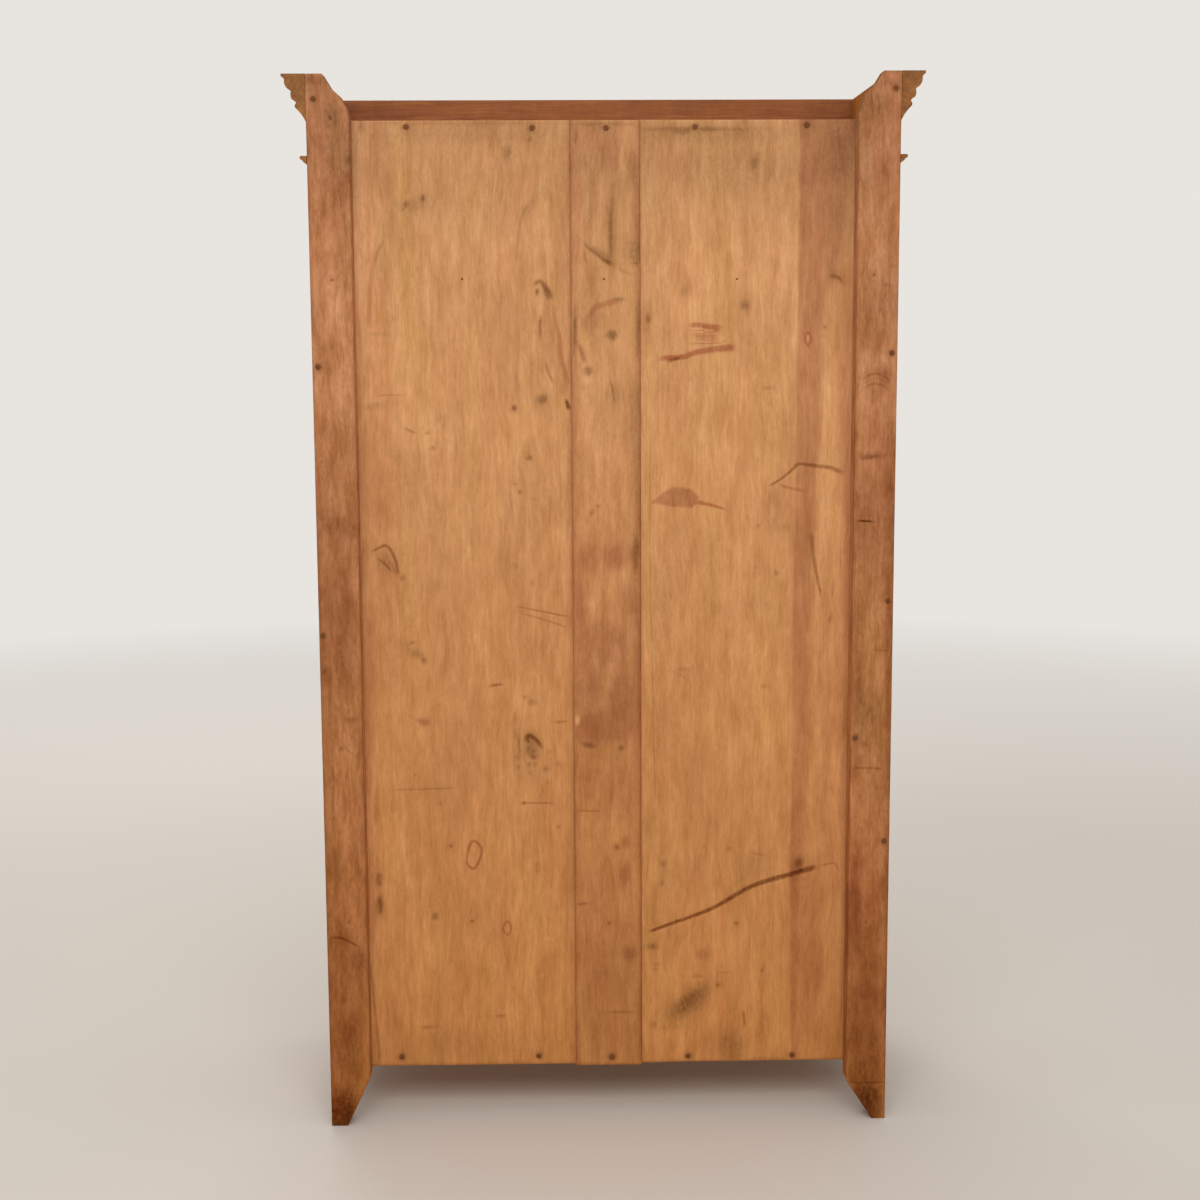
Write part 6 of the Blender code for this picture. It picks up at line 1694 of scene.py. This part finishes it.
# Stage: colours, the floor's reach and where it fades, and the lamps as (place, size, power)
BACKDROP = srgb(232, 228, 223)
FLOOR_COLOUR = srgb(222, 216, 208)
FLOOR_HALF = 40.0
FLOOR_LINES = 9
FLOOR_FADE = (2.2, 6.0)
LAMP_COLOUR = (1.0, 0.98, 0.95)
SKY_STRENGTH = 0.55
LAMPS = {
    "lamp_back": ((0.1, 3.6, 3.1), (3.2, 2.0), 78.0),
    "lamp_front": ((0.9, -3.8, 3.1), (3.2, 2.0), 62.0),
}
LAMP_AIM = (0.0, 0.0, 1.0)


def seen_straight(tree):
    """One for rays from the camera, or by way of gloss or glass, and nothing for the light on surfaces."""
    seen = add_node(tree, "ShaderNodeLightPath").outputs
    mirrored = math_node(tree, "MAXIMUM", seen["Is Glossy Ray"], seen["Is Transmission Ray"])
    return math_node(tree, "MAXIMUM", seen["Is Camera Ray"], mirrored)


def stage():
    """A pale floor that takes on the background's colour far off, under a soft sky."""
    mesh = bpy.data.meshes.new("floor")
    rows = np.linspace(-FLOOR_HALF, FLOOR_HALF, FLOOR_LINES)
    across, along = np.meshgrid(rows, rows, indexing="ij")
    points = np.stack((across, along, np.zeros_like(across)), -1).reshape(-1, 3)
    number = np.arange(len(points)).reshape(across.shape)
    mesh.from_pydata(points.tolist(), [], grid_quads(number, False).tolist())
    floor = bpy.data.objects.new("floor", mesh)
    bpy.context.scene.collection.objects.link(floor)
    material, tree, shader = new_material("pale_floor")
    shader.inputs["Base Color"].default_value = FLOOR_COLOUR
    shader.inputs["Roughness"].default_value = 0.8
    place = add_node(tree, "ShaderNodeTexCoord").outputs["Object"]
    far = add_node(tree, "ShaderNodeVectorMath", {0: place}, operation="LENGTH").outputs["Value"]
    fade = times(tree, ranged(tree, far, *FLOOR_FADE), seen_straight(tree))
    glow = add_node(tree, "ShaderNodeEmission", {"Color": BACKDROP, "Strength": 1.0})
    blend = add_node(tree, "ShaderNodeMixShader", {0: fade, 1: shader.outputs[0], 2: glow.outputs[0]})
    link(tree, blend.outputs[0], tree.nodes["Material Output"].inputs["Surface"])
    mesh.materials.append(material)

    world = bpy.data.worlds.new("soft_sky")
    world.use_nodes = True
    bpy.context.scene.world = world
    tree = world.node_tree
    sky = tree.nodes["Background"]
    sky.inputs["Color"].default_value = (*LAMP_COLOUR, 1.0)
    sky.inputs["Strength"].default_value = SKY_STRENGTH
    plain = add_node(tree, "ShaderNodeBackground", {"Color": BACKDROP, "Strength": 1.0})
    inputs = {0: seen_straight(tree), 1: sky.outputs[0], 2: plain.outputs[0]}
    blend = add_node(tree, "ShaderNodeMixShader", inputs)
    link(tree, blend.outputs[0], tree.nodes["World Output"].inputs["Surface"])


def lamps():
    """Broad lamps behind and in front, turned towards the wardrobe's middle."""
    for name, (place, size, power) in LAMPS.items():
        lamp = bpy.data.lights.new(name, "AREA")
        lamp.shape = "RECTANGLE"
        lamp.size, lamp.size_y = size
        lamp.energy = power
        lamp.color = LAMP_COLOUR
        back = np.array(place) - np.array(LAMP_AIM)
        back /= np.linalg.norm(back)
        side = np.cross((0.0, 0.0, 1.0), back)
        side /= np.linalg.norm(side)
        add_holder(name, lamp, side, np.cross(back, side), back, place)


def add_holder(name, data, right, up, back, place):
    """An object for a lamp or a camera, its axes along the three given directions, at a place."""
    holder = bpy.data.objects.new(name, data)
    matrix = np.eye(4)
    matrix[:3, :4] = np.stack((right, up, back, place), 1)
    holder.matrix_world = Matrix(matrix.tolist())
    bpy.context.scene.collection.objects.link(holder)
    return holder


def camera():
    """The camera that took the picture."""
    lens = bpy.data.cameras.new("camera")
    lens.sensor_width = SENSOR_WIDTH
    lens.lens = FOCAL_PIXELS / PICTURE_SIZE * SENSOR_WIDTH
    lens.clip_end = 200.0
    right, up, forward = camera_axes()
    bpy.context.scene.camera = add_holder("camera", lens, right, up, -forward, CAMERA_PLACE)


def crown():
    """Cornice and astragal round the top."""
    low, high = corners("frieze_board")
    rear = corners("rear_post_right")[1][Y]
    moulding("cornice", CORNICE_STRETCHES, high[Z], high[X], low[Y], rear)
    moulding("astragal", ASTRAGAL_STRETCHES, high[Z] - ASTRAGAL_DROP, high[X], low[Y], rear)


make_materials()
carcass()
front_frame()
door()
inside()
crown()
coat_hooks()
hinges()
lock_and_key()
back_nails()
stage()
lamps()
camera()
bpy.context.scene.view_settings.view_transform = "Standard"
